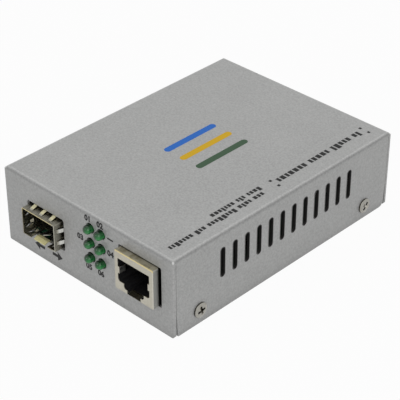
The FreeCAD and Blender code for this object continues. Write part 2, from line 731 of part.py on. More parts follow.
def latch_tab():
    """Sprung tongue in the cage's floor: it climbs to a lip that a module's wedge rides under,
    and has the three-cornered hole that holds the module's latch."""
    floor = BOARD_TOP
    root = CAGE_FRONT + TAB_LENGTH
    lip = CAGE_FRONT + TAB_LIP_LENGTH
    left = CAGE_X - TAB_WIDTH / 2
    path = [(root, floor), (lip, floor + TAB_LIP_RISE), (CAGE_FRONT, floor)]
    lower = [vec(left, y, z) for y, z in path]
    upper = [vec(left, y, z + CAGE_SHEET) for y, z in path]
    tongue = prism(lower + upper[::-1], vec(TAB_WIDTH, 0, 0))
    base = lip + TAB_LIP_LENGTH
    hole = [
        vec(CAGE_X - TAB_HOLE_BASE / 2, base, floor - CAGE_SHEET),
        vec(CAGE_X + TAB_HOLE_BASE / 2, base, floor - CAGE_SHEET),
        vec(CAGE_X, base + TAB_HOLE_DEPTH, floor - CAGE_SHEET),
    ]
    return tongue.cut(prism(hole, vec(0, 0, TAB_LIP_RISE + 3 * CAGE_SHEET)))


def cage_floor_cuts():
    """Room for the latch tab at the mouth and for the connector at the rear."""
    half_tab = TAB_WIDTH / 2 + TAB_NOTCH_WIDTH
    half_connector = CONNECTOR_WIDTH / 2 + CONNECTOR_CLEARANCE
    low = BOARD_TOP - CAGE_SHEET
    high = BOARD_TOP + 2 * CAGE_SHEET
    root = CAGE_FRONT + TAB_LENGTH
    rear = CAGE_REAR - CAGE_SHEET
    front = connector_y()[0] - CONTACT_TAIL - CONNECTOR_CLEARANCE
    return [
        block(CAGE_X - half_tab, CAGE_X + half_tab, CAGE_FRONT - CAGE_SHEET, root, low, high),
        block(CAGE_X - half_connector, CAGE_X + half_connector, front, rear, low, high),
    ]


def cage_vents():
    """Round vents: two rows in the roof and one in each side."""
    tools = []
    for index in range(CAGE_VENT_COUNT):
        y = CAGE_FRONT + CAGE_FIRST_VENT + index * CAGE_VENT_PITCH
        for x in (-CAGE_VENT_ROW_OFFSET, CAGE_VENT_ROW_OFFSET):
            start = vec(CAGE_X + x, y, CAGE_AXIS_Z)
            tools.append(sided_rod(CAGE_VENT_RADIUS, start, Z_AXIS, CAGE_HEIGHT, CAGE_VENT_SIDES))
        start = vec(CAGE_X - CAGE_WIDTH, y, CAGE_AXIS_Z)
        tools.append(sided_rod(CAGE_VENT_RADIUS, start, X_AXIS, 2 * CAGE_WIDTH, CAGE_VENT_SIDES))
    return tools


def module_cage():
    """Folded cage for the pluggable module, open at the mouth and closed at the rear."""
    outer = bar_along_y(CAGE_X, CAGE_AXIS_Z, CAGE_WIDTH, CAGE_HEIGHT, CAGE_FRONT, CAGE_REAR)
    outer = round_edges(outer, CAGE_BEND, Y_AXIS, lambda point: point.z > CAGE_AXIS_Z)
    inner = bar_along_y(
        CAGE_X, CAGE_AXIS_Z, CAGE_INNER_WIDTH, CAGE_INNER_HEIGHT,
        CAGE_FRONT - CAGE_SHEET, CAGE_REAR - CAGE_SHEET
    )
    tools = [inner] + cage_floor_cuts() + cage_vents()
    tools += [on_cage_wall(finger_window(out, offset), turn) for turn, out, offset in finger_places()]
    tube = outer.cut(tools)
    added = [latch_tab()]
    added += [on_cage_wall(finger(out, offset), turn) for turn, out, offset in finger_places()]
    for x, y in cage_leg_places():
        added.append(leg(x, y, CAGE_SHEET, CAGE_LEG_WIDTH, BOARD_TOP))
    return fuse_all([tube] + added)


# ---------------------------------------------------------------- module connector
def connector_y():
    """Front and rear faces of the connector's body."""
    rear = CAGE_REAR - CAGE_SHEET - CONNECTOR_REAR_GAP
    return rear - CONNECTOR_LENGTH, rear


def module_contact_shapes():
    """Contact strips on the slot's floor and ceiling: the floor row folds down the body's front
    face to the board, the ceiling row passes through the body and folds down its rear face."""
    front, rear = connector_y()
    slot_low = BOARD_TOP + SLOT_SEAT
    slot_high = slot_low + SLOT_HEIGHT
    slot_end = front + SLOT_DEPTH
    strips = []
    for offset in row_offsets(CONTACT_COUNT, CONTACT_PITCH):
        left = CAGE_X + offset - CONTACT_WIDTH / 2
        floor_path = [
            vec(left, front - CONTACT_TAIL, BOARD_TOP),
            vec(left, front, BOARD_TOP),
            vec(left, front, slot_low),
            vec(left, slot_end, slot_low),
        ]
        roof_path = [
            vec(left, front + CONTACT_TAIL, slot_high - CONTACT_THICKNESS),
            vec(left, rear, slot_high - CONTACT_THICKNESS),
            vec(left, rear, BOARD_TOP),
            vec(left, rear + CONTACT_TAIL, BOARD_TOP),
        ]
        width = vec(CONTACT_WIDTH, 0, 0)
        strips.append(ribbon(floor_path, CONTACT_THICKNESS, width))
        strips.append(ribbon(roof_path, CONTACT_THICKNESS, width))
    return strips


def module_contacts():
    return Part.makeCompound(module_contact_shapes())


def module_connector():
    """Moulded connector in the cage's rear, with a slot for the module's board and a channel
    behind the slot's ceiling for the upper row of contacts."""
    front, rear = connector_y()
    half = CONNECTOR_WIDTH / 2
    body = block(CAGE_X - half, CAGE_X + half, front, rear, BOARD_TOP, BOARD_TOP + CONNECTOR_HEIGHT)
    body = ease_edges(body, CONNECTOR_EDGE, X_AXIS, lambda point: point.z > BOARD_TOP + SLOT_SEAT)
    slot_low = BOARD_TOP + SLOT_SEAT
    slot_high = slot_low + SLOT_HEIGHT
    left = CAGE_X - SLOT_WIDTH / 2
    right = CAGE_X + SLOT_WIDTH / 2
    slot = block(left, right, front - SHEET, front + SLOT_DEPTH, slot_low, slot_high)
    channel = block(left, right, front, rear + SHEET, slot_high - CONTACT_THICKNESS, slot_high)
    return body.cut([slot, channel])


# ---------------------------------------------------------------- copper jack
def plug_outline(y, grow):
    """Stepped, keyed outline of the plug opening, grown sideways and upwards."""
    floor = BOARD_TOP + JACK_SHEET
    top = JACK_TOP - PLUG_TOP_MARGIN + grow
    step = JACK_TOP - PLUG_TOP_MARGIN - PLUG_HEIGHT
    half_plug = PLUG_WIDTH / 2 + grow
    half_latch = LATCH_WIDTH / 2 + grow
    half_slot = LATCH_SLOT_WIDTH / 2 + grow
    right = [
        (half_slot, floor),
        (half_slot, step - LATCH_HEIGHT),
        (half_latch - PLUG_CHAMFER, step - LATCH_HEIGHT),
        (half_latch, step - LATCH_HEIGHT + PLUG_CHAMFER),
        (half_latch, step),
        (half_plug - PLUG_CHAMFER, step),
        (half_plug, step + PLUG_CHAMFER),
        (half_plug, top),
    ]
    left = [(-x, z) for x, z in right[::-1]]
    return [vec(JACK_X + x, y, z) for x, z in right + left]


def jack_leg_places():
    """Middle of the shield's two board legs."""
    reach = (JACK_WIDTH - JACK_SHEET) / 2
    y = JACK_FRONT + JACK_LEG_SETBACK
    return [(JACK_X - reach, y), (JACK_X + reach, y)]


def ground_leaf(side):
    """Leaf that folds back from the plug opening's edge and touches the plug's own shield."""
    edge = JACK_X + side * PLUG_WIDTH / 2
    inner = edge - side * LEAF_REACH
    z = JACK_TOP - PLUG_TOP_MARGIN - LEAF_DROP - LEAF_WIDTH / 2
    back = JACK_FRONT + LEAF_LENGTH
    path = [
        vec(edge, JACK_FRONT, z),
        vec(inner, JACK_FRONT, z),
        vec(inner - side * JACK_SHEET, JACK_FRONT + LEAF_LENGTH / 2, z),
        vec(edge - side * JACK_SHEET, back, z),
    ]
    strip = ribbon(path, JACK_SHEET * -side, vec(0, 0, LEAF_WIDTH))
    return strip


def jack_shield():
    """Folded shield: face with the plug opening, roof, sides, rear and a short floor lip."""
    middle = BOARD_TOP + JACK_HEIGHT / 2
    outer = round_bar(JACK_X, middle, JACK_WIDTH, JACK_HEIGHT, JACK_FRONT, JACK_REAR, JACK_BEND)
    face = [edge for edge in outer.Edges if abs(edge.CenterOfMass.y - JACK_FRONT) < 1e-6]
    outer = outer.makeChamfer(JACK_BEND / 2, face)
    inner = bar_along_y(
        JACK_X, middle, JACK_WIDTH - 2 * JACK_SHEET, JACK_HEIGHT - 2 * JACK_SHEET,
        JACK_FRONT + JACK_SHEET, JACK_REAR - JACK_SHEET
    )
    half = JACK_WIDTH / 2 - JACK_SHEET
    floor = block(
        JACK_X - half,
        JACK_X + half,
        JACK_FRONT + JACK_LIP_DEPTH,
        JACK_REAR - JACK_SHEET,
        BOARD_TOP - JACK_SHEET,
        BOARD_TOP + 2 * JACK_SHEET
    )
    opening = prism(plug_outline(JACK_FRONT - JACK_SHEET, 0), vec(0, 3 * JACK_SHEET, 0))
    shell = outer.cut([inner, floor, opening])
    added = [ground_leaf(-1), ground_leaf(1)]
    for x, y in jack_leg_places():
        added.append(leg(x, y, JACK_SHEET, JACK_LEG_WIDTH, BOARD_TOP + 2 * JACK_BEND))
    return fuse_all([shell] + added)


def jack_mouth():
    """Front face of the housing, just behind the shield's face."""
    return JACK_FRONT + JACK_SHEET + HOUSING_CLEARANCE


def peg_places():
    """Middle of the housing's two locating pegs."""
    y = JACK_FRONT + PEG_SETBACK
    return [(JACK_X - PEG_SPACING / 2, y), (JACK_X + PEG_SPACING / 2, y)]


def jack_tail_places():
    """Middle of each contact's solder tail, in two staggered rows."""
    places = []
    for index, offset in enumerate(row_offsets(JACK_CONTACTS, JACK_CONTACT_PITCH)):
        y = jack_mouth() + PLUG_DEPTH + JACK_TAIL_SETBACK + (index % 2) * JACK_TAIL_STAGGER
        places.append((JACK_X + offset, y))
    return places


def jack_contact_shapes():
    """Sprung wires: up from the board, forward over the cavity, then down and back into it."""
    size = JACK_CONTACT_SIZE
    ceiling = JACK_TOP - PLUG_TOP_MARGIN
    high = ceiling + JACK_CONTACT_ROOF
    bend = jack_mouth() + JACK_CONTACT_BEND
    wires = []
    for x, y in jack_tail_places():
        left = x - size / 2
        path = [
            vec(left, y + size / 2, BOARD_UNDERSIDE - LEG_OUTSTAND),
            vec(left, y + size / 2, high),
            vec(left, bend, high),
            vec(left, bend - size, high - size),
            vec(left, bend, high - 2 * size),
            vec(left, bend + JACK_CONTACT_REACH, ceiling - JACK_CONTACT_DROP),
        ]
        wires.append(ribbon(path, size, vec(size, 0, 0)))
    return wires


def jack_contacts():
    return Part.makeCompound(jack_contact_shapes())


def jack_wire_channels():
    """Room in the housing for the row of sprung wires: one channel behind the cavity, open to
    the board, and one over the cavity, open to it near the mouth."""
    half = ((JACK_CONTACTS - 1) * JACK_CONTACT_PITCH + JACK_CONTACT_SIZE) / 2 + PIN_CLEARANCE
    ceiling = JACK_TOP - PLUG_TOP_MARGIN
    high = ceiling + JACK_CONTACT_ROOF + PIN_CLEARANCE
    bend = jack_mouth() + JACK_CONTACT_BEND - JACK_CONTACT_SIZE - PIN_CLEARANCE
    tails = [y for _x, y in jack_tail_places()]
    reach = JACK_CONTACT_SIZE / 2 + PIN_CLEARANCE
    left = JACK_X - half
    right = JACK_X + half
    rear = block(left, right, min(tails) - reach, max(tails) + reach, BOARD_TOP - SHEET, high)
    roof = block(left, right, bend, max(tails) + reach, ceiling, high)
    return [rear, roof]


def jack_housing():
    """Moulded insert with the keyed plug cavity, contact channels and two locating pegs."""
    gap = JACK_SHEET + HOUSING_CLEARANCE
    half = JACK_WIDTH / 2 - gap
    front = jack_mouth()
    rear = JACK_REAR - gap
    body = block(JACK_X - half, JACK_X + half, front, rear, BOARD_TOP, JACK_TOP - gap)
    cavity = prism(plug_outline(front - SHEET, HOUSING_MOUTH_STEP), vec(0, PLUG_DEPTH + SHEET, 0))
    lip = block(
        JACK_X - half - SHEET, JACK_X + half + SHEET, front - SHEET,
        JACK_FRONT + JACK_LIP_DEPTH + HOUSING_CLEARANCE, BOARD_TOP - SHEET, BOARD_TOP + gap
    )
    body = body.cut([cavity, lip] + jack_wire_channels())
    low = BOARD_UNDERSIDE - LEG_OUTSTAND
    pegs = [sided_rod(PEG_RADIUS, vec(x, y, low), Z_AXIS, BOARD_TOP - low) for x, y in peg_places()]
    return fuse_all([body] + pegs)


# ---------------------------------------------------------------- signal lamps
def lamp(x, z):
    """Round lens with a domed tip and a rim at its back."""
    profile = [(LAMP_RADIUS * math.sin(LAMP_TIP_ANGLE), 0)]
    for index in (1, 2):
        angle = LAMP_TIP_ANGLE + (math.pi / 2 - LAMP_TIP_ANGLE) * index / 2
        profile.append((LAMP_RADIUS * math.sin(angle), LAMP_RADIUS * (1 - math.cos(angle))))
    profile += [
        (LAMP_RADIUS, LAMP_LENGTH - LAMP_RIM_THICKNESS),
        (LAMP_RIM_RADIUS, LAMP_LENGTH - LAMP_RIM_THICKNESS),
        (LAMP_RIM_RADIUS, LAMP_LENGTH),
    ]
    return turned(profile, vec(x, LAMP_TIP, z), Y_AXIS)


def lead_places():
    """Middle of each lamp lead where it passes the board, with its row's height."""
    places = []
    for x, z, row in lamp_places():
        y = SPACER_BACK + LEAD_SIZE + row * LEAD_STEP
        places += [(x - LEAD_PITCH / 2, y, z), (x + LEAD_PITCH / 2, y, z)]
    return places


def lamp_leads():
    """Square wires from each lamp through its spacer block and down through the board."""
    leads = []
    half = LEAD_SIZE / 2
    for x, y, z in lead_places():
        path = [
            vec(x - half, LAMP_BACK, z - half),
            vec(x - half, y - half, z - half),
            vec(x - half, y - half, BOARD_UNDERSIDE - LEG_OUTSTAND),
        ]
        leads.append(ribbon(path, LEAD_SIZE, vec(LEAD_SIZE, 0, 0)))
    return Part.makeCompound(leads)


def lamp_spacer(column):
    """Upright block behind one column of lamps, pierced for their leads."""
    x = LAMP_LAST_X - (LAMP_COLUMNS - 1 - column) * LAMP_COLUMN_PITCH
    half = SPACER_WIDTH / 2
    top = LAMP_HIGH_Z + SPACER_CROWN
    body = block(x - half, x + half, LAMP_BACK, SPACER_BACK, BOARD_TOP, top)
    body = ease_edges(body, SPACER_EDGE, Y_AXIS, lambda point: point.z > LAMP_HIGH_Z)
    side = LEAD_SIZE + 2 * PIN_CLEARANCE
    tools = []
    for lamp_x, z, _row in lamp_places():
        if abs(lamp_x - x) < half:
            for lead_x in (x - LEAD_PITCH / 2, x + LEAD_PITCH / 2):
                tools.append(
                    block(
                        lead_x - side / 2, lead_x + side / 2, LAMP_BACK - 1, SPACER_BACK + 1,
                        z - side / 2, z + side / 2
                    )
                )
    return body.cut(tools)


# ---------------------------------------------------------------- power inlet
def inlet_body_front():
    return INLET_FACE - INLET_LENGTH


def inlet_pin():
    """Centre pin on its terminal, which stands against the back of the housing."""
    y = inlet_body_front()
    length = INLET_LENGTH - INLET_PIN_SETBACK
    radius = INLET_PIN_RADIUS
    profile = [(radius, 0), (radius, length - radius)]
    for degrees in (35, 70):
        angle = math.radians(degrees)
        profile.append((radius * math.cos(angle), length - radius + radius * math.sin(angle)))
    pin = turned(profile, vec(INLET_X, y, INLET_AXIS_Z), Y_AXIS)
    blade = leg(
        INLET_X,
        y - TERMINAL_THICKNESS / 2,
        TERMINAL_WIDTH,
        TERMINAL_THICKNESS,
        INLET_AXIS_Z + TERMINAL_WIDTH / 2
    )
    return fuse_all([blade, pin])


def inlet_leaf_y():
    """Where the leaf's terminal passes down through the housing and the board."""
    return INLET_FACE - INLET_FACE_DEPTH - TERMINAL_WIDTH


def inlet_leaf():
    """Sprung leaf under the bore: it bears on the outside of the plug's barrel."""
    y = inlet_leaf_y()
    floor = INLET_AXIS_Z - INLET_BORE_RADIUS
    left = INLET_X - INLET_LEAF_WIDTH / 2
    path = [
        vec(left, y, BOARD_UNDERSIDE - LEG_OUTSTAND),
        vec(left, y, floor),
        vec(left, y - INLET_LEAF_REACH / 2, floor + INLET_LEAF_LIFT),
        vec(left, y - INLET_LEAF_REACH, floor),
    ]
    return ribbon(path, TERMINAL_THICKNESS, vec(INLET_LEAF_WIDTH, 0, 0))


def power_inlet():
    """Moulded inlet: a deep face at the rear, a lower body, and a round bore with a centre pin."""
    half = INLET_WIDTH / 2
    step = INLET_BODY_STEP
    face = block(
        INLET_X - half, INLET_X + half, INLET_FACE - INLET_FACE_DEPTH, INLET_FACE,
        BOARD_TOP, BOARD_TOP + INLET_HEIGHT
    )
    body = block(
        INLET_X - half + step / 2, INLET_X + half - step / 2, inlet_body_front(),
        INLET_FACE - INLET_FACE_DEPTH, BOARD_TOP, BOARD_TOP + INLET_HEIGHT - step
    )
    mouth = INLET_BORE_RADIUS + INLET_MOUTH_CHAMFER
    profile = [
        (INLET_BORE_RADIUS, 0),
        (INLET_BORE_RADIUS, INLET_BORE_DEPTH - INLET_MOUTH_CHAMFER),
        (mouth, INLET_BORE_DEPTH),
        (mouth, INLET_BORE_DEPTH + SHEET),
    ]
    start = vec(INLET_X, INLET_FACE - INLET_BORE_DEPTH, INLET_AXIS_Z)
    bore = turned(profile, start, Y_AXIS, INLET_BORE_SIDES)
    return fuse_all([face, body]).cut([bore, inlet_leaf(), inlet_pin()])


# ---------------------------------------------------------------- board
def board():
    """Printed circuit board with its screw holes and the holes for every terminal."""
    plate = block(-BOARD_HALF_WIDTH, BOARD_HALF_WIDTH, BOARD_FRONT, BOARD_REAR, BOARD_UNDERSIDE, BOARD_TOP)
    plate = ease_edges(plate, BOARD_CORNER, Z_AXIS)
    low = BOARD_UNDERSIDE - BOARD_THICKNESS
    depth = 3 * BOARD_THICKNESS
    holes = [
        sided_hole(SCREW_RADIUS + SCREW_CLEARANCE, vec(x, y, low), Z_AXIS, depth)
        for x, y in board_screw_places()
    ]
    for x, y in peg_places():
        holes.append(sided_hole(PEG_RADIUS + PEG_CLEARANCE, vec(x, y, low), Z_AXIS, depth))
    holes += [leg_hole(x, y, CAGE_SHEET, CAGE_LEG_WIDTH) for x, y in cage_leg_places()]
    holes += [leg_hole(x, y, JACK_SHEET, JACK_LEG_WIDTH) for x, y in jack_leg_places()]
    holes += [leg_hole(x, y, JACK_CONTACT_SIZE, JACK_CONTACT_SIZE) for x, y in jack_tail_places()]
    holes += [leg_hole(x, y, LEAD_SIZE, LEAD_SIZE) for x, y, _z in lead_places()]
    pin_y = inlet_body_front() - TERMINAL_THICKNESS / 2
    leaf_y = inlet_leaf_y() - TERMINAL_THICKNESS / 2
    holes.append(leg_hole(INLET_X, pin_y, TERMINAL_WIDTH, TERMINAL_THICKNESS))
    holes.append(leg_hole(INLET_X, leaf_y, INLET_LEAF_WIDTH, TERMINAL_THICKNESS))
    return plate.cut(holes)


# ---------------------------------------------------------------- parts on the board
def beside(first_centre, first_width, second_width):
    """Centre of a part that stands PART_GAP beside its neighbour."""
    return first_centre + first_width / 2 + PART_GAP + second_width / 2


def chip_place():
    return CAGE_X + CAGE_WIDTH / 2, CAGE_REAR + PART_GAP + CHIP_SIZE[1] / 2 + PACKAGE_LEG_LENGTH


def memory_place():
    x, y = chip_place()
    span = CHIP_SIZE[0] + 2 * PACKAGE_LEG_LENGTH
    return x - (beside(0, span, MEMORY_SIZE[0]) + PACKAGE_LEG_LENGTH), y


def regulator_place():
    x, y = chip_place()
    span = CHIP_SIZE[0] + 2 * PACKAGE_LEG_LENGTH
    return beside(x, span, REGULATOR_SIZE[0]) + PACKAGE_LEG_LENGTH, y


def inductor_place():
    x, y = regulator_place()
    span = REGULATOR_SIZE[0] + 2 * PACKAGE_LEG_LENGTH
    return beside(x, span, INDUCTOR_SIZE[0]), y


def crystal_place():
    x, y = chip_place()
    span = CHIP_SIZE[1] + 2 * PACKAGE_LEG_LENGTH
    return x, beside(y, span, CRYSTAL_SIZE[1])


def transformer_place():
    return JACK_X, JACK_REAR + PART_GAP + TRANSFORMER_SIZE[1] / 2 + PACKAGE_LEG_LENGTH


def capacitor_places():
    """Two capacitors side by side in front of the power inlet."""
    y = inlet_body_front() - PART_GAP - CAPACITOR_RADIUS
    reach = CAPACITOR_RADIUS + PART_GAP / 2
    return [(INLET_X - reach, y), (INLET_X + reach, y)]


def leg_row(x, y, size, count, pitch, turn):
    """Row of bent legs along one side of a package centred on x and y."""
    width, depth, height = size
    out = width / 2 if turn in (0, 180) else depth / 2
    legs = []
    for offset in row_offsets(count, pitch):
        edge = offset - PACKAGE_LEG_WIDTH / 2
        path = [
            vec(out - PACKAGE_LEG_THICKNESS, edge, height / 2),
            vec(out + PACKAGE_LEG_LENGTH / 2, edge, 0),
            vec(out + PACKAGE_LEG_LENGTH, edge, 0),
        ]
        strip = ribbon(path, -PACKAGE_LEG_THICKNESS, vec(0, PACKAGE_LEG_WIDTH, 0))
        strip.rotate(vec(0, 0, 0), Z_AXIS, turn)
        strip.translate(vec(x, y, BOARD_TOP))
        legs.append(strip)
    return legs


def package(place, size, count, pitch, turns):
    """Moulded package that sits on the board, with rows of legs on the named sides."""
    x, y = place
    body = centred_block(x, y, BOARD_TOP, size)
    top = BOARD_TOP + size[2]
    rim = [edge for edge in body.Edges if edge.BoundBox.ZMin > top - 1e-6]
    body = body.makeChamfer(PACKAGE_EDGE, rim)
    legs = []
    for turn in turns:
        legs += leg_row(x, y, size, count, pitch, turn)
    return fuse_all([body] + legs)


def converter_chip():
    return package(chip_place(), CHIP_SIZE, CHIP_LEGS, CHIP_LEG_PITCH, (0, 90, 180, 270))


def memory_chip():
    return package(memory_place(), MEMORY_SIZE, MEMORY_LEGS, COARSE_LEG_PITCH, (0, 180))


def regulator():
    return package(regulator_place(), REGULATOR_SIZE, REGULATOR_LEGS, COARSE_LEG_PITCH, (0, 180))


def line_transformer():
    return package(transformer_place(), TRANSFORMER_SIZE, TRANSFORMER_LEGS, COARSE_LEG_PITCH, (90, 270))


def clock_crystal():
    """Low metal can with round ends."""
    x, y = crystal_place()
    depth = CRYSTAL_SIZE[1]
    can = centred_block(x, y, BOARD_TOP, CRYSTAL_SIZE)
    return ease_edges(can, depth / 3, Z_AXIS)


def inductor():
    """Square shielded inductor with a round core let into its top."""
    x, y = inductor_place()
    body = centred_block(x, y, BOARD_TOP, INDUCTOR_SIZE)
    body = ease_edges(body, INDUCTOR_SIZE[0] / 6, Z_AXIS)
    top = BOARD_TOP + INDUCTOR_SIZE[2]
    well = sided_rod(INDUCTOR_CORE_RADIUS, vec(x, y, top - INDUCTOR_CORE_DEPTH), Z_AXIS, PART_GAP)
    return body.cut(well)


def capacitors():
    """Two electrolytic cans, each on a square base."""
    cans = []
    side = 2 * CAPACITOR_RADIUS
    for x, y in capacitor_places():
        base = centred_block(x, y, BOARD_TOP, (side, side, CAPACITOR_BASE_HEIGHT))
        can = sided_rod(CAPACITOR_RADIUS, vec(x, y, BOARD_TOP), Z_AXIS, CAPACITOR_HEIGHT)
        cans.append(fuse_all([base, can]))
    return Part.makeCompound(cans)


# ---------------------------------------------------------------- output
def build_parts():
    """Every named piece of the product."""
    parts = {
        "cover": cover(),
        "cover_screws": cover_screws(),
        "base_plate": base_plate(),
        "standoffs": standoffs(),
        "board": board(),
        "board_screws": board_screws(),
        "module_cage": module_cage(),
        "module_connector": module_connector(),
        "module_contacts": module_contacts(),
        "jack_shield": jack_shield(),
        "jack_housing": jack_housing(),
        "jack_contacts": jack_contacts(),
        "lamp_leads": lamp_leads(),
        "power_inlet": power_inlet(),
        "inlet_pin": inlet_pin(),
        "inlet_leaf": inlet_leaf(),
        "line_transformer": line_transformer(),
        "converter_chip": converter_chip(),
        "memory_chip": memory_chip(),
        "regulator": regulator(),
        "clock_crystal": clock_crystal(),
        "inductor": inductor(),
        "capacitors": capacitors(),
    }
    for index, (x, z, _row) in enumerate(lamp_places()):
        parts["lamp_" + str(index + 1)] = lamp(x, z)
    for column in range(LAMP_COLUMNS):
        parts["lamp_spacer_" + str(column + 1)] = lamp_spacer(column)
    return parts


def main():
    os.makedirs("parts", exist_ok=True)
    for name, shape in build_parts().items():
        shape.exportStep("parts/" + name + ".step")
        print(name, len(shape.Solids), round(shape.Volume, 2), shape.isValid())


main()
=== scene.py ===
import json
import math

import bmesh
import bpy
import numpy as np
from bpy.props import FloatProperty, FloatVectorProperty, IntProperty, PointerProperty
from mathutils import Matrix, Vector


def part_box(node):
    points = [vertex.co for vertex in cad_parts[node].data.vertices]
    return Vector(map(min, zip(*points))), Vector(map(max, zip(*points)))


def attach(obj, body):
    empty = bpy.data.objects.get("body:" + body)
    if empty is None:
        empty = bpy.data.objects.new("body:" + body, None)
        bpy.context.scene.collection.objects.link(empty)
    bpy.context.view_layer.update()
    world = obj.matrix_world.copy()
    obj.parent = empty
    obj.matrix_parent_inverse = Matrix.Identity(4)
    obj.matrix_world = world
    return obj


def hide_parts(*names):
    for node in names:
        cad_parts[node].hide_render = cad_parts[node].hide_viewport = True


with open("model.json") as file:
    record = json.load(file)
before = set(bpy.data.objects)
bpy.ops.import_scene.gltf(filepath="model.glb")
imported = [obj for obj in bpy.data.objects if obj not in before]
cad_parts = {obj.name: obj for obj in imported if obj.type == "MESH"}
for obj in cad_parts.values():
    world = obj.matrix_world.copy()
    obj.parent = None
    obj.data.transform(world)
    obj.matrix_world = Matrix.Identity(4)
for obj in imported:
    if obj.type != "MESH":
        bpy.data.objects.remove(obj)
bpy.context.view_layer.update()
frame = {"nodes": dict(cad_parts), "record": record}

bl_info = {
    "name": "Fibre media converter",
    "version": (1, 0, 0),
    "blender": (4, 5, 0),
    "location": "3D View > Sidebar > Converter",
    "description": "Finishes, lamps, screws and print of a folded-steel fibre media converter",
    "category": "Object",
}

MM = 0.001
BODY = "root"
CASE_LOW, CASE_HIGH = (np.array(corner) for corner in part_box("cover"))
FRONT = CASE_LOW[1] / MM    # the ports' side, in millimetres

# side vents, in millimetres: pitch, how far the rows sit towards the ports, height of their middle,
# half of a slot's straight part, and half its width with the margin of painted shade round it. Each
# row has the given number of slots on either side of its middle
VENT_PITCH = 5.0
VENT_OFFSET = 0.1
VENT_MIDDLE = 16.15
VENT_STRAIGHT = 4.02
VENT_EDGE = 1.02
VENTS_EACH_WAY = 6
INSIDE_FLANK = 33.5    # beyond this on X a point is in a side wall
TAB_TOP = 9.6          # top of the lip on the module cage's latch tab, in millimetres

# painted shade and highlight on the coat's bends: tone against how far a face leans from a wall (0)
# to the lid (1), darkest under a bend's crown and brightest on it
BEND_SHADING = (
    (0.0, 0.80), (0.14, 0.77), (0.34, 0.66), (0.52, 0.565), (0.68, 0.585),
    (0.82, 0.79), (0.92, 0.955), (0.975, 0.94), (1.0, 0.80),
)

# colours that aren't settings: the finish's own colours, and painted shade and highlights where
# marked
DULL_SPOT = (0.20, 0.13, 0.07, 1.0)
# painted shade on the low cut edges of the module cage's mouth
LOW_RIM_SHADE = (0.17, 0.15, 0.09, 1.0)
TAB_LIP = (0.66, 0.62, 0.36, 1.0)
# painted highlights on the module cage's spring fingers, at its side and its top
SIDE_FINGER_HIGHLIGHT = (0.66, 0.66, 0.62, 1.0)
TOP_FINGER_HIGHLIGHT = (0.62, 0.58, 0.38, 1.0)
SHIELD_DARK = (0.31, 0.28, 0.19, 1.0)
SHIELD_TOP = (0.47, 0.44, 0.34, 1.0)
# painted highlight on the jack shield's sides
LIT_SHIELD_FLANK = (0.60, 0.60, 0.57, 1.0)
SHIELD_FOLD = (0.56, 0.54, 0.47, 1.0)
WARM_FOLD = (0.56, 0.47, 0.24, 1.0)
# painted shade on the jack shield behind the case's sheet
SHADED = (0.012, 0.011, 0.010, 1.0)
# painted shade on the rims of the screw heads
HEAD_SKIRT_SHADE = (0.07, 0.065, 0.055, 1.0)

MATT = (0.75, 0.75, 0.75, 1.0)     # roughness of the latch tab's lip
PAINTED_LIGHT_WAY = (0.80, -0.50, -0.33)    # way from a lamp's middle towards its painted highlight; the far side takes painted shade

LAMP_NODES = sorted(
    name for name in frame["nodes"] if name.startswith("lamp_") and name[5:].isdigit()
)


# ---------------------------------------------------------------- settings
def colour(name, description, default):
    """Colour setting."""
    return FloatVectorProperty(
        name=name, description=description, subtype="COLOR", size=3, min=0, max=1, default=default
    )


def length(name, description, millimetres):
    """Length setting, in metres, from its default in millimetres."""
    return FloatProperty(
        name=name, description=description, subtype="DISTANCE", unit="LENGTH",
        default=millimetres * MM,
    )


class ConverterFinish(bpy.types.PropertyGroup):
    """Colours of the case, the metal parts and the mouldings."""

    coat: colour("Powder coat", "Silver powder coat of the case", (0.360, 0.3615, 0.3565))
    coat_grain: length("Coat grain", "Width of one fleck in the powder coat", 0.55)
    # painted shade: the near-black colour given to the case's inner side and the vents' margins
    inside: colour("Inside", "Dark inner side of the case", (0.035, 0.034, 0.033))
    cage: colour("Module cage", "Tinned sheet of the module cage", (0.47, 0.455, 0.38))
    shield: colour("Jack shield", "Tinned sheet round the jack", (0.50, 0.475, 0.40))
    sheared_edge: colour("Sheared edge", "Warm metal at the sheet's cut edges", (0.62, 0.54, 0.30))
    screw: colour("Screw plating", "Nickel plating of the screws", (0.37, 0.36, 0.325))
    moulding: colour("Moulding", "Black plastic of the jack and the inlet", (0.011, 0.011, 0.012))
    laminate: colour("Board", "Solder resist on the circuit board", (0.006, 0.036, 0.017))
    lens: colour("Lamp lens", "Tint of the signal lamps", (0.006, 0.082, 0.018))


class ConverterPrint(bpy.types.PropertyGroup):
    """Ink on the cover."""

    blue: colour("First bar", "Ink of the first bar on the lid", (0.020, 0.135, 0.500))
    yellow: colour("Second bar", "Ink of the second bar on the lid", (0.610, 0.370, 0.010))
    green: colour("Third bar", "Ink of the third bar on the lid", (0.045, 0.092, 0.050))
    black: colour("Black ink", "Ink of the marks and the numbers", (0.016, 0.016, 0.016))
    film: length("Ink film", "Height of the ink above the coat", 0.02)
    stroke: length("Bar width", "Width of each colour bar", 2.3)
    bar_length: length("Bar length", "Length of each colour bar", 21.5)
    bar_pitch: length("Bar pitch", "From one colour bar to the next", 6.6)
    digit: length("Digit height", "Height of the lamp numbers", 1.8)


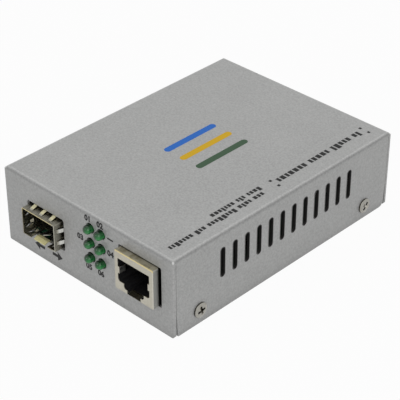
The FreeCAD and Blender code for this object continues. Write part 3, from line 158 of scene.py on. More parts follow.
class ConverterTurned(bpy.types.PropertyGroup):
    """Sizes of the lamps' lenses and the cover's screws."""

    lens_radius: length("Lens radius", "Radius of a lamp's barrel", 1.41)
    lens_rim: length("Lens rim", "Thickness of the rim at a lamp's back", 1.0)
    steps: IntProperty(name="Steps", description="Steps round a lamp's lens", default=64, min=12)
    head_radius: length("Head radius", "Radius of a screw's head", 2.4)
    head_height: length("Head height", "How far a screw's head stands proud", 0.78)
    head_rim: length("Head rim", "Straight height of a screw's head", 0.4)
    shank_radius: length("Shank radius", "Radius of a screw's shank", 0.95)
    recess_width: length("Recess width", "Width of each arm of the cross recess", 0.72)
    recess_span: length("Recess span", "Length of each arm of the cross recess", 2.9)
    recess_depth: length("Recess depth", "Depth of the cross recess", 0.7)


class ConverterStage(bpy.types.PropertyGroup):
    """Camera and floor."""

    azimuth: FloatProperty(
        name="Azimuth", description="Camera's turn to the right of the ports",
        subtype="ANGLE", unit="ROTATION", default=math.radians(44.02)
    )
    elevation: FloatProperty(
        name="Elevation", description="Camera's angle above the table",
        subtype="ANGLE", unit="ROTATION", default=math.radians(33.61)
    )
    distance: length("Distance", "From the camera to the point it looks at", 438.0)
    lens: FloatProperty(
        name="Focal length", description="Camera's focal length in millimetres",
        default=131.9, min=1,
    )
    floor: colour("Floor", "Pale floor", (0.50, 0.50, 0.50))


# ---------------------------------------------------------------- mesh tools
def mesh_of(name, patches, smooth=math.radians(32)):
    """One mesh from patches, each a grid of points (rows, columns, 3) and whether its last column
    joins its first. Doubled points are merged, so poles, seams and joints between patches close."""
    points, quads, start = [], [], 0
    for grid, wrap in patches:
        rows, columns = grid.shape[:2]
        across = columns if wrap else columns - 1
        a, b = np.meshgrid(np.arange(rows - 1), np.arange(across), indexing="ij")
        c = (b + 1) % columns
        corners = [a * columns + b, a * columns + c, (a + 1) * columns + c, (a + 1) * columns + b]
        quads.append(start + np.stack(corners, axis=-1).reshape(-1, 4))
        points.append(grid.reshape(-1, 3))
        start += rows * columns
    mesh = bpy.data.meshes.new(name)
    mesh.from_pydata(np.concatenate(points).tolist(), [], np.concatenate(quads).tolist())
    close_up(mesh)
    mesh.polygons.foreach_set("use_smooth", np.ones(len(mesh.polygons), dtype=bool))
    mesh.set_sharp_from_angle(angle=smooth)
    return mesh


def close_up(mesh, distance=1e-7):
    """Merges doubled points, drops empty faces and turns the rest outwards."""
    work = bmesh.new()
    work.from_mesh(mesh)
    bmesh.ops.remove_doubles(work, verts=work.verts, dist=distance)
    bmesh.ops.dissolve_degenerate(work, edges=work.edges, dist=distance)
    bmesh.ops.recalc_face_normals(work, faces=work.faces)
    work.to_mesh(mesh)
    work.free()
    mesh.update()


def piece(name, mesh, material, stands_for=()):
    """Object at the origin that rides on the converter's one body."""
    obj = bpy.data.objects.new(name, mesh)
    bpy.context.scene.collection.objects.link(obj)
    mesh.materials.append(material)
    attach(obj, BODY)
    if stands_for:
        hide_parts(*stands_for)
    return obj


def ribbon(path, width, height, place):
    """Closed band of ink: a rectangle, width across and height tall, carried along a path of
    (u, v) points. Its edges lie at path +/- (width / 2) * normal, and a width of nought at an end
    closes it."""
    ahead = np.gradient(path, axis=0)
    ahead /= np.linalg.norm(ahead, axis=1)[:, None]
    half = (0.5 * np.broadcast_to(width, len(path)))[:, None]
    aside = np.column_stack([-ahead[:, 1], ahead[:, 0]]) * half
    left, right = path + aside, path - aside
    low, high = np.zeros(len(path)), np.full(len(path), height)
    corners = [(left, low), (right, low), (right, high), (left, high)]
    grid = np.stack([place(*edge.T, level) for edge, level in corners], axis=1)
    ends = [grid[row][[0, 1, 3, 2]].reshape(2, 2, 3) for row in (0, -1)]
    return [(grid, True)] + [(end, False) for end in ends]


def bar(centre, size, height, place):
    """Closed rectangle of ink of the given size (u, v) about a centre."""
    half = 0.5 * size[0]
    path = np.array([(centre[0] - half, centre[1]), (centre[0] + half, centre[1])])
    return ribbon(path, size[1], height, place)


def on_lid(u, v, w):
    """Lid's own frame: u along X, v along Y, w up from the lid's face."""
    return np.column_stack([u, v, w + CASE_HIGH[2]])


def on_front(u, v, w):
    """Port side's own frame: u along X, v up, w out of the face."""
    return np.column_stack([u, CASE_LOW[1] - w, v])


# ---------------------------------------------------------------- shader tools
class Shader:
    """Material or node group under construction."""

    def __init__(self, tree):
        self.tree = tree
        self.nodes = tree.nodes
        self.links = tree.links

    def add(self, kind, **inputs):
        """Adds a node. Names of inputs are sockets, and values starting with _ are settings."""
        node = self.nodes.new(kind)
        for name, value in inputs.items():
            if name.startswith("_"):
                setattr(node, name[1:], value)
        for name, value in inputs.items():
            if not name.startswith("_"):
                self.feed(node.inputs[name.replace("__", " ")], value)
        return node

    def feed(self, socket, value):
        """Links a node's output to a socket, or gives the socket a constant."""
        if isinstance(value, bpy.types.NodeSocket):
            self.links.new(value, socket)
        else:
            socket.default_value = value

    def math(self, operation, *values):
        """Result of a math node."""
        node = self.nodes.new("ShaderNodeMath")
        node.operation = operation
        for socket, value in zip(node.inputs, values):
            self.feed(socket, value)
        return node.outputs[0]

    def mix(self, factor, low, high, blend="MIX"):
        """Colour between low at factor nought and high at factor one."""
        node = self.nodes.new("ShaderNodeMix")
        node.data_type = "RGBA"
        node.blend_type = blend
        self.feed(node.inputs[0], factor)
        self.feed(node.inputs[6], low)
        self.feed(node.inputs[7], high)
        return node.outputs[2]

    def ramp(self, value, low, high, to_low=0.0, to_high=1.0):
        """Value carried from one range to another, held at both ends."""
        node = self.nodes.new("ShaderNodeMapRange")
        node.clamp = True
        ends = {"From Min": low, "From Max": high, "To Min": to_low, "To Max": to_high}
        for name, number in ends.items():
            self.feed(node.inputs[name], number)
        self.feed(node.inputs["Value"], value)
        return node.outputs[0]


def opaque(rgb):
    """Colour with its alpha."""
    return (*rgb, 1.0)


def group_of(name, inputs, outputs):
    """New node group with named inputs (name, kind, default) and outputs (name, kind)."""
    tree = bpy.data.node_groups.new(name, "ShaderNodeTree")
    for title, kind, default in inputs:
        socket = tree.interface.new_socket(title, in_out="INPUT", socket_type="NodeSocket" + kind)
        socket.default_value = default
    for title, kind in outputs:
        tree.interface.new_socket(title, in_out="OUTPUT", socket_type="NodeSocket" + kind)
    shader = Shader(tree)
    return tree, shader, shader.add("NodeGroupInput").outputs, shader.add("NodeGroupOutput").inputs


def fleck_group():
    """Fine flecks and slow drift: a grain of the given size, and a drift thirty times as wide."""
    inputs = [("Grain", "Float", 0.0004), ("Depth", "Float", 0.03), ("Drift", "Float", 0.01)]
    outputs = [("Tone", "Float"), ("Height", "Float")]
    tree, shader, given, out = group_of("converter_flecks", inputs, outputs)
    place = shader.add("ShaderNodeTexCoord").outputs["Object"]
    scale = shader.math("DIVIDE", 1.0, given["Grain"])
    fine = shader.add("ShaderNodeTexNoise", Vector=place, Scale=scale, Detail=2.0, Roughness=0.6)
    wider = shader.math("DIVIDE", scale, 30.0)
    wide = shader.add("ShaderNodeTexNoise", Vector=place, Scale=wider, Detail=1.0)
    grain = shader.math("MULTIPLY", shader.math("SUBTRACT", fine.outputs[0], 0.5), given["Depth"])
    drift = shader.math("MULTIPLY", shader.math("SUBTRACT", wide.outputs[0], 0.5), given["Drift"])
    shader.feed(out["Tone"], shader.math("ADD", 1.0, shader.math("ADD", grain, drift)))
    shader.feed(out["Height"], fine.outputs[0])
    return tree


def streak_group():
    """Rolled or drawn metal: fine lines along one axis, and small dull spots."""
    inputs = [("Stretch", "Vector", (1.0, 1.0, 1.0)), ("Fineness", "Float", 1500.0)]
    outputs = [("Line", "Float"), ("Spot", "Float")]
    tree, shader, given, out = group_of("converter_streaks", inputs, outputs)
    place = shader.add("ShaderNodeTexCoord").outputs["Object"]
    drawn = shader.add("ShaderNodeVectorMath", _operation="MULTIPLY")
    shader.feed(drawn.inputs[0], place)
    shader.feed(drawn.inputs[1], given["Stretch"])
    lines = shader.add(
        "ShaderNodeTexNoise", Vector=drawn.outputs[0], Scale=given["Fineness"], Detail=3.0
    )
    spots = shader.add("ShaderNodeTexNoise", Vector=place, Scale=900.0, Detail=2.0)
    shader.feed(out["Line"], lines.outputs[0])
    shader.feed(out["Spot"], shader.ramp(spots.outputs[0], 0.56, 0.68))
    return tree


def facing_group():
    """Masks from the way a face points: up, to the ports, along X, and on the slope between the
    ports' side and its neighbours. Rise is the smooth normal's Z, and Corner is the product of its
    X and Y, which is highest half-way round an upright corner."""
    outputs = [(title, "Float") for title in ("Up", "Ports", "Side", "Slope", "Rise", "Corner")]
    tree, shader, _, out = group_of("converter_facing", [], outputs)
    geometry = shader.add("ShaderNodeNewGeometry").outputs
    flat = shader.add("ShaderNodeSeparateXYZ", Vector=geometry["True Normal"]).outputs
    round_off = shader.add("ShaderNodeSeparateXYZ", Vector=geometry["Normal"]).outputs
    shader.feed(out["Up"], shader.ramp(flat["Z"], 0.7, 0.9))
    shader.feed(out["Ports"], shader.ramp(flat["Y"], -0.8, -0.95))
    shader.feed(out["Side"], shader.ramp(shader.math("ABSOLUTE", flat["X"]), 0.55, 0.85))
    leaning = shader.ramp(flat["Y"], -0.25, -0.4)
    not_ports = shader.ramp(flat["Y"], -0.95, -0.85)
    shader.feed(out["Slope"], shader.math("MULTIPLY", leaning, not_ports))
    shader.feed(out["Rise"], round_off["Z"])
    both = shader.math("MULTIPLY", round_off["X"], round_off["Y"])
    shader.feed(out["Corner"], shader.math("ABSOLUTE", both))
    return tree


def place_group():
    """Object coordinates in millimetres, and how far in from a box's top and sides a point is."""
    inputs = [("Low", "Vector", (0.0, 0.0, 0.0)), ("High", "Vector", (1.0, 1.0, 1.0))]
    outputs = [("X", "Float"), ("Y", "Float"), ("Z", "Float"), ("Depth", "Float")]
    tree, shader, given, out = group_of("converter_place", inputs, outputs)
    place = shader.add("ShaderNodeTexCoord").outputs["Object"]
    spot = shader.add("ShaderNodeSeparateXYZ", Vector=place).outputs
    for axis in "XYZ":
        shader.feed(out[axis], shader.math("DIVIDE", spot[axis], MM))
    depths = []
    for first, second in ((place, given["Low"]), (given["High"], place)):
        apart = shader.add("ShaderNodeVectorMath", _operation="SUBTRACT")
        shader.feed(apart.inputs[0], first)
        shader.feed(apart.inputs[1], second)
        depths.append(shader.add("ShaderNodeSeparateXYZ", Vector=apart.outputs[0]).outputs)
    low, high = depths
    nearest = high["Z"]
    for side in (low["X"], low["Y"], high["X"], high["Y"]):
        nearest = shader.math("MINIMUM", nearest, side)
    shader.feed(out["Depth"], shader.math("DIVIDE", nearest, MM))
    return tree


GROUPS = {}


def shared(name):
    """Node group by name, built the first time it is asked for."""
    makers = {
        "flecks": fleck_group, "streaks": streak_group, "facing": facing_group, "place": place_group
    }
    if name not in GROUPS:
        GROUPS[name] = makers[name]()
    return GROUPS[name]


def begin(name, metallic=0.0, roughness=0.4, coat=0.0):
    """New material with one Principled shader."""
    material = bpy.data.materials.new(name)
    material.use_nodes = True
    shader = Shader(material.node_tree)
    surface = shader.nodes["Principled BSDF"]
    surface.inputs["Metallic"].default_value = metallic
    surface.inputs["Roughness"].default_value = roughness
    surface.inputs["Coat Weight"].default_value = coat
    return material, shader, surface.inputs


def use(shader, name, **inputs):
    """Outputs of a shared node group that stands in a material with the given inputs."""
    return shader.add("ShaderNodeGroup", _node_tree=shared(name), **inputs).outputs


def bump(shader, height, distance):
    """Normal of a relief whose height is carried to the given distance, in metres."""
    return shader.add("ShaderNodeBump", Height=height, Distance=distance, Strength=1.0).outputs[0]


# ---------------------------------------------------------------- materials
def bend_shading(shader, facing):
    """Painted shade under a bend's crown and a painted highlight on it, as a tone along the bend.
    """
    bend = shader.add("ShaderNodeValToRGB", Fac=facing["Rise"])
    stops = bend.color_ramp.elements
    while len(stops) < len(BEND_SHADING):
        stops.new(0.5)
    for stop, (at, tone) in zip(stops, BEND_SHADING):
        stop.position, stop.color = at, (tone, tone, tone, 1.0)
    return bend.outputs[0]


def lid_corner_highlight(shader, place):
    """Painted highlight at the lid's four corners: a pale tone from a point's distance to the
    nearest of them.
    """
    apart = shader.add("ShaderNodeCombineXYZ")
    for axis, reach in zip("XYZ", CASE_HIGH / MM):
        inset = shader.math("SUBTRACT", reach, shader.math("ABSOLUTE", place[axis]))
        shader.feed(apart.inputs[axis], inset)
    distance = shader.add("ShaderNodeVectorMath", _operation="LENGTH")
    shader.feed(distance.inputs[0], apart.outputs[0])
    return shader.ramp(distance.outputs["Value"], 0.75, 1.2, 1.6, 0.0)


def vent_shade_mask(shader, place):
    """Mask of the painted shade in each side vent and its margin: one where the distance to a
    slot's middle line, an upright straight piece, is under VENT_EDGE. Slots lie at odd halves of
    the pitch, less the offset."""
    phase = shader.math("ADD", place["Y"], 19.5 * VENT_PITCH + VENT_OFFSET)
    across = shader.math("PINGPONG", phase, 0.5 * VENT_PITCH)
    off_middle = shader.math("ABSOLUTE", shader.math("SUBTRACT", place["Z"], VENT_MIDDLE))
    past_end = shader.math("MAXIMUM", shader.math("SUBTRACT", off_middle, VENT_STRAIGHT), 0.0)
    squares = (shader.math("POWER", across, 2.0), shader.math("POWER", past_end, 2.0))
    apart = shader.math("SQRT", shader.math("ADD", *squares))
    flank = shader.math("GREATER_THAN", shader.math("ABSOLUTE", place["X"]), INSIDE_FLANK)
    row = shader.math("LESS_THAN", shader.math("ABSOLUTE", place["Y"]), VENTS_EACH_WAY * VENT_PITCH)
    near = shader.ramp(apart, VENT_EDGE + 0.08, VENT_EDGE)
    return shader.math("MULTIPLY", near, shader.math("MULTIPLY", flank, row))


def powder_coat():
    """Silver powder coat: mottled flecks and a fine orange peel. Painted highlights run along the
    crown of each bend, up the upright corners and at the lid's corners, and painted shade lies
    under the bends and darkens it towards the foot as a contact shadow. Painted shade also fills
    the vents' margins and the inner side."""
    finish = bpy.context.scene.converter_finish
    material, shader, surface = begin("converter_powder_coat", metallic=0.25)
    flecks = use(shader, "flecks", Grain=finish.coat_grain, Depth=0.78, Drift=0.12)
    facing = use(shader, "facing")
    place = use(shader, "place", Low=tuple(CASE_LOW), High=tuple(CASE_HIGH))
    # painted highlight up the upright corners: 1.38 there against 1.25 elsewhere, which also undoes
    # the 0.80 of flat faces in the bend shading
    corner = shader.ramp(facing["Corner"], 0.2, 0.45, 1.25, 1.38)
    # painted shade and highlight along the bends
    tone = shader.math("MULTIPLY", bend_shading(shader, facing), corner)
    tone = shader.math("MULTIPLY", flecks["Tone"], tone)
    # painted shade, darker towards the bottom: a painted contact shadow over the lowest few
    # millimetres and a faint darkening up to 9 mm
    foot_shadow = shader.ramp(place["Z"], 0.4, 2.4, 0.87, 1.0)
    low_down = shader.ramp(place["Z"], 0.0, 9.0, 0.95, 1.0)
    tone = shader.math("MULTIPLY", tone, shader.math("MULTIPLY", foot_shadow, low_down))
    # painted highlight at the lid's corners
    tone = shader.math("MAXIMUM", tone, lid_corner_highlight(shader, place))
    coat = shader.mix(1.0, opaque(finish.coat), tone, "MULTIPLY")
    # painted shade: the inner side of the case and the vents' margins take a near-black colour
    shaded_inner_side = shader.ramp(place["Depth"], 0.9, 0.97)
    inner = shader.math("MAXIMUM", vent_shade_mask(shader, place), shaded_inner_side)
    shader.feed(surface["Base Color"], shader.mix(inner, coat, opaque(finish.inside)))
    shader.feed(surface["Roughness"], shader.ramp(flecks["Height"], 0.3, 0.7, 0.38, 0.50))
    shader.feed(surface["Normal"], bump(shader, flecks["Height"], 0.00002))
    return material


def plated_sheet(name, tint, roughness=0.24, stretch=(1.0, 0.12, 1.0), spot=0.35):
    """Plated sheet or wire: drawn lines and dull spots. Returns its colour too, so that a finish
    can add to it before it goes to the shader."""
    material, shader, surface = begin(name, metallic=1.0)
    streaks = use(shader, "streaks", Stretch=stretch, Fineness=1800.0)
    dull = [0.86 * part for part in tint]
    worn = shader.mix(shader.ramp(streaks["Line"], 0.35, 0.7), opaque(dull), opaque(tint))
    spotted = shader.mix(shader.math("MULTIPLY", streaks["Spot"], spot), worn, DULL_SPOT)
    gloss = shader.ramp(streaks["Line"], 0.3, 0.7, roughness, roughness + 0.12)
    shader.feed(surface["Base Color"], spotted)
    shader.feed(surface["Roughness"], gloss)
    shader.feed(surface["Normal"], bump(shader, streaks["Line"], 0.000003))
    return material, shader, surface, spotted


def cage_sheet():
    """Tinned sheet of the module cage: warm cut edges round its mouth, brighter at the top and
    given painted shade low down, plain on the right, a matt lip on its latch tab, painted
    highlights on the spring fingers where they stand proud of the walls, and a painted shadow on
    the outer walls towards the case's sheet."""
    finish = bpy.context.scene.converter_finish
    material, shader, surface, sheet = plated_sheet("converter_cage_sheet", tuple(finish.cage))
    gloss = surface["Roughness"].links[0].from_socket
    facing = use(shader, "facing")
    place = use(shader, "place")
    low, high = (np.array(corner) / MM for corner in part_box("module_cage"))

    # painted shade: the mouth's cut edges darken from the warm edge colour at the top to a dark
    # tone low down
    high_up = shader.ramp(place["Z"], high[2] - 3.0, high[2] - 0.9)
    rim = shader.mix(high_up, LOW_RIM_SHADE, opaque(finish.sheared_edge))
    far_right = shader.ramp(place["X"], high[0] - 2.2, high[0] - 1.6)
    rim = shader.mix(far_right, rim, opaque(finish.cage))
    edged = shader.mix(facing["Ports"], sheet, rim)

    low_down = shader.ramp(place["Z"], TAB_TOP + 0.1, TAB_TOP - 0.1)
    at_mouth = shader.ramp(place["Y"], low[1] + 2.4, low[1] + 2.2)
    lip = shader.math("MULTIPLY", low_down, at_mouth)
    off_middle = shader.math("SUBTRACT", place["X"], 0.5 * (low[0] + high[0]))
    off_middle = shader.math("ABSOLUTE", off_middle)
    lip = shader.math("MULTIPLY", lip, shader.ramp(off_middle, 2.6, 2.4))
    edged = shader.mix(lip, edged, TAB_LIP)

    # painted shadow: the cage's outer walls darken towards the case's sheet, to 0.28 at the panel
    outside = shader.math(
        "MAXIMUM",
        shader.ramp(place["Z"], high[2] - 0.9, high[2] - 0.8),
        shader.ramp(place["X"], high[0] - 0.9, high[0] - 0.8),
    )
    panel_shadow = shader.ramp(place["Y"], low[1] + 0.7, FRONT, 1.0, 0.28)
    panel_shadow = shader.ramp(outside, 0.0, 1.0, 1.0, panel_shadow)
    walls = shader.mix(1.0, edged, panel_shadow, "MULTIPLY")

    # painted highlight: the spring fingers that stand proud of the top and the side are paler
    top = shader.ramp(place["Z"], high[2] - 0.72, high[2] - 0.55)
    side = shader.ramp(place["X"], high[0] - 0.72, high[0] - 0.55)
    fingers = shader.mix(top, shader.mix(side, walls, SIDE_FINGER_HIGHLIGHT), TOP_FINGER_HIGHLIGHT)
    shader.feed(surface["Base Color"], fingers)
    shader.feed(surface["Roughness"], shader.mix(lip, gloss, MATT))
    return material


def shield_sheet():
    """Tinned sheet round the jack: a pale face, duller spotted top, a painted highlight on its
    sides, a warm fold along the top, and painted shade behind the case's own sheet."""
    tint = tuple(bpy.context.scene.converter_finish.shield)
    material, shader, surface, sheet = plated_sheet("converter_shield_sheet", tint, 0.3, spot=0.08)
    facing = use(shader, "facing")
    place = use(shader, "place")
    patches = use(shader, "flecks", Grain=0.0016, Depth=1.6, Drift=0.0)
    top = shader.mix(shader.ramp(patches["Tone"], 0.75, 1.1), SHIELD_DARK, SHIELD_TOP)
    dull = shader.mix(facing["Up"], sheet, top)
    # painted highlight: the sides that face along X are paler
    flank = shader.mix(facing["Side"], dull, LIT_SHIELD_FLANK)
    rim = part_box("jack_shield")[1][2] / MM
    high_up = shader.ramp(place["Z"], rim - 0.7, rim - 0.4)
    fold = shader.mix(high_up, SHIELD_FOLD, WARM_FOLD)
    skin = shader.mix(facing["Slope"], flank, fold)
    # painted shade behind the case's own sheet, weaker on faces that look up
    behind = shader.ramp(place["Y"], FRONT - 0.55, FRONT - 0.15)
    behind = shader.math("MULTIPLY", behind, shader.ramp(facing["Up"], 0.0, 1.0, 1.0, 0.6))
    shader.feed(surface["Base Color"], shader.mix(behind, skin, SHADED))
    return material


def screw_plating():
    """Nickel-plated screw with painted shade on the rims of the heads, which face along the case.
    """
    tint = tuple(bpy.context.scene.converter_finish.screw)
    evenly = (1, 1, 1)
    material, shader, surface, plating = plated_sheet("converter_screw_plating", tint, 0.20, evenly)
    facing = use(shader, "facing")
    # painted shade on faces that don't look along X
    shader.feed(surface["Base Color"], shader.mix(facing["Side"], HEAD_SKIRT_SHADE, plating))
    return material


def moulded(name, tint, roughness=0.35):
    """Moulded plastic or resin: a faint grain in its colour, gloss and relief."""
    material, shader, surface = begin(name)
    surface["Specular IOR Level"].default_value = 0.3
    flecks = use(shader, "flecks", Grain=0.0006, Depth=0.3, Drift=0.1)
    gloss = shader.ramp(flecks["Height"], 0.3, 0.7, roughness, roughness + 0.14)
    shader.feed(surface["Base Color"], shader.mix(1.0, opaque(tint), flecks["Tone"], "MULTIPLY"))
    shader.feed(surface["Roughness"], gloss)
    shader.feed(surface["Normal"], bump(shader, flecks["Height"], 0.00002))
    return material


def laminate():
    """Solder resist over glass cloth: a fine weave and paler traces that run along X and Y."""
    tint = tuple(bpy.context.scene.converter_finish.laminate)
    material, shader, surface = begin("converter_laminate", roughness=0.34, coat=0.3)
    place = shader.add("ShaderNodeTexCoord").outputs["Object"]
    traces = shader.add("ShaderNodeTexBrick", Vector=place, Scale=300.0)
    traces.inputs["Color1"].default_value = (0.0, 0.0, 0.0, 1.0)
    traces.inputs["Color2"].default_value = (0.5, 0.5, 0.5, 1.0)
    traces.inputs["Mortar"].default_value = (1.0, 1.0, 1.0, 1.0)
    traces.inputs["Mortar Size"].default_value = 0.03
    weave = shader.add("ShaderNodeTexWave", Vector=place, Scale=300.0, Distortion=1.0)
    pale = [min(1.0, 1.9 * part) for part in tint]
    trace = shader.math("MULTIPLY", traces.outputs[0], 0.7)
    shader.feed(surface["Base Color"], shader.mix(trace, opaque(tint), opaque(pale)))
    shader.feed(surface["Roughness"], shader.ramp(weave.outputs[1], 0.0, 1.0, 0.30, 0.42))
    shader.feed(surface["Normal"], bump(shader, weave.outputs[1], 0.00001))
    return material


def lamp_lens():
    """Tinted clear resin of a round lamp, with a painted highlight low on its right side and
    painted shade, deepest in tone, at its top."""
    tint = tuple(bpy.context.scene.converter_finish.lens)
    material, shader, surface = begin("converter_lamp_lens", roughness=0.10)
    flecks = use(shader, "flecks", Grain=0.0007, Depth=0.25, Drift=0.1)
    normal = shader.add("ShaderNodeNewGeometry").outputs["Normal"]
    glow = shader.add("ShaderNodeVectorMath", _operation="DOT_PRODUCT")
    shader.feed(glow.inputs[0], normal)
    glow.inputs[1].default_value = PAINTED_LIGHT_WAY
    # painted highlight low on the right and painted shade at the top, from how the normal leans
    toward_painted_light = glow.outputs["Value"]
    pale = [min(1.0, 2.6 * part) for part in tint]
    far_side_shade = [0.18 * part for part in tint]
    body = shader.mix(shader.ramp(toward_painted_light, 0.55, 0.95), opaque(tint), opaque(pale))
    body = shader.mix(shader.ramp(toward_painted_light, -0.15, 0.45), opaque(far_side_shade), body)
    shader.feed(surface["Base Color"], shader.mix(1.0, body, flecks["Tone"], "MULTIPLY"))
    shader.feed(surface["Roughness"], shader.ramp(flecks["Height"], 0.3, 0.7, 0.05, 0.09))
    surface["Specular IOR Level"].default_value = 0.45
    return material


INKS = {}


def ink(name, tint):
    """Screen-printed ink, slightly uneven in tone and gloss. Each ink is made once."""
    if name in INKS:
        return INKS[name]
    material, shader, surface = begin(name)
    INKS[name] = material
    surface["Specular IOR Level"].default_value = 0.15
    flecks = use(shader, "flecks", Grain=0.0003, Depth=0.22, Drift=0.06)
    shader.feed(surface["Base Color"], shader.mix(1.0, opaque(tint), flecks["Tone"], "MULTIPLY"))
    shader.feed(surface["Roughness"], shader.ramp(flecks["Height"], 0.3, 0.7, 0.42, 0.55))
    return material


# ---------------------------------------------------------------- operators
# cover screws: turn of the recess in the front and the back pair in radians, and, in metres, the
# shank's length and how far the heads sit towards the ports and down from their nodes' middles
RECESS_TURNS = (0.2, 0.9)
SHANK_LENGTH = 0.004
SCREW_SHIFT = (0.0005, 0.0004)

# small print on the lid: widths and heights of its bars, and the gaps between bars and between
# groups, as shares of a row's height
LETTER_WIDTHS = (0.42, 0.52, 0.62)
LETTER_HEIGHTS = (0.74, 0.74, 1.0)
LETTER_GAP = 0.2
WORD_GAP = 0.5

# rows of it, in millimetres: from and to along Y, place on X, height, and the row's seed
LID_ROWS = ((-43.0, -3.0, 29.8, 1.9, 3), (-24.0, -3.0, 27.2, 1.9, 5), (2.6, 40.4, 28.5, 2.5, 8))

# square marks round the last row, in millimetres: places (x, y) and width
LID_SQUARES = ((26.85, 0.9), (30.15, 0.9), (26.85, 42.1), (30.15, 42.1))
SQUARE_WIDTH = 0.9

BAR_AHEAD = 0.4          # share of a colour bar that lies on the ports' side of the lid's middle
CAPITAL = 0.7            # height of a number as a share of its type's size
NUMBER_BOLD = 0.00012    # in metres, how far a number's outline is widened
NUMBER_RISE = 0.00001    # and half of how far it stands up

# marks on the ports' side, in millimetres: numbers (text, x, z), a dash (x, z) with its size, and
# arrows (x, z, way) with the steps from their middle to tail, neck and tip, and their widths
NUMBERS = (
    ("01", 1.2, 24.2), ("02", 6.2, 24.2), ("03", -2.3, 16.4),
    ("04", 10.2, 16.4), ("05", 0.9, 7.5), ("06", 5.9, 7.5),
)
DASH, DASH_SIZE = (10.3, 21.4), (2.4, 0.55)
ARROWS = ((-20.8, 4.2, -1), (-13.0, 4.2, 1))
ARROW_STEPS = (-2.2, 0.1, 2.2)
ARROW_TAIL, ARROW_HEAD = 1.0, 3.1


class CONVERTER_OT_finish(bpy.types.Operator):
    """Give every part of the frame the finish of its material"""

    bl_idname = "converter.finish"
    bl_label = "Finishes"
    bl_options = {"REGISTER", "UNDO"}

    def execute(self, context):
        finish = context.scene.converter_finish
        metals = {
            "zinc_steel": ((0.42, 0.43, 0.44), 0.35),
            "gold_contact": ((0.78, 0.52, 0.16), 0.20),
            "tinned_wire": ((0.55, 0.54, 0.52), 0.30),
            "nickel_pin": ((0.60, 0.59, 0.55), 0.18),
            "crystal_can": ((0.62, 0.62, 0.60), 0.20),
            "capacitor_can": ((0.50, 0.50, 0.50), 0.25),
        }
        finishes = {
            slot: plated_sheet("converter_" + slot, *values)[0] for slot, values in metals.items()
        }
        finishes.update({
            "silver_coat": powder_coat(),
            "nickel_screw": screw_plating(),
            "board_laminate": laminate(),
            "tinned_sheet": shield_sheet(),
            "black_moulding": moulded("converter_moulding", tuple(finish.moulding)),
            "chip_resin": moulded("converter_chip_resin", (0.016, 0.016, 0.017), 0.45),
            "ferrite": moulded("converter_ferrite", (0.045, 0.043, 0.042), 0.5),
            "green_lens": lamp_lens(),
        })
        cage = cage_sheet()
        finishes["base_coat"] = finishes["silver_coat"]
        for part in frame["record"]["subparts"]:
            obj = frame["nodes"].get(part["node"])
            if obj is None:
                raise RuntimeError("the frame has no node " + part["node"])
            material = finishes[part["material_slot"]]
            for slot in obj.material_slots:
                slot.material = cage if part["node"] == "module_cage" else material
        return {"FINISHED"}


def turned(profile, centre, steps):
    """Profile of (distance out, place along Y) turned about a line along Y through the centre:
    x = centre + out * cos(turn), z = centre + out * sin(turn)."""
    out, along = np.asarray(profile).T
    turn = np.linspace(0.0, 2.0 * math.pi, steps, endpoint=False)
    return np.stack(
        [
            centre[0] + out[:, None] * np.cos(turn),
            np.broadcast_to(along[:, None], (len(along), steps)),
            centre[2] + out[:, None] * np.sin(turn),
        ],
        axis=-1,
    )


class CONVERTER_OT_lamps(bpy.types.Operator):
    """Turn the six signal lamps: a half-round nose, a round barrel and a rim at the back. The nose
    is radius * sin(t) out and radius * (1 - cos(t)) along, with t from 0 to a quarter turn"""

    bl_idname = "converter.lamps"
    bl_label = "Signal lamps"
    bl_options = {"REGISTER", "UNDO"}

    def execute(self, context):
        sizes = context.scene.converter_turned
        lens = frame["nodes"][LAMP_NODES[0]].material_slots[0].material
        nose = np.linspace(0.0, 0.5 * math.pi, 18)
        for node in LAMP_NODES:
            low, high = (np.array(corner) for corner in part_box(node))
            rim = 0.5 * (high[0] - low[0])
            shoulder = high[1] - sizes.lens_rim
            dome = np.column_stack([np.sin(nose), 1 - np.cos(nose)]) * sizes.lens_radius
            dome += (0.0, low[1])
            back = [(sizes.lens_radius, shoulder), (rim, shoulder), (rim, high[1]), (0.0, high[1])]
            profile = np.concatenate([dome, back])
            skin = turned(profile, 0.5 * (low + high), sizes.steps)
            mesh = mesh_of(node + "_lens", [(skin, True)])
            piece(node + "_lens", mesh, lens, [node])
        return {"FINISHED"}


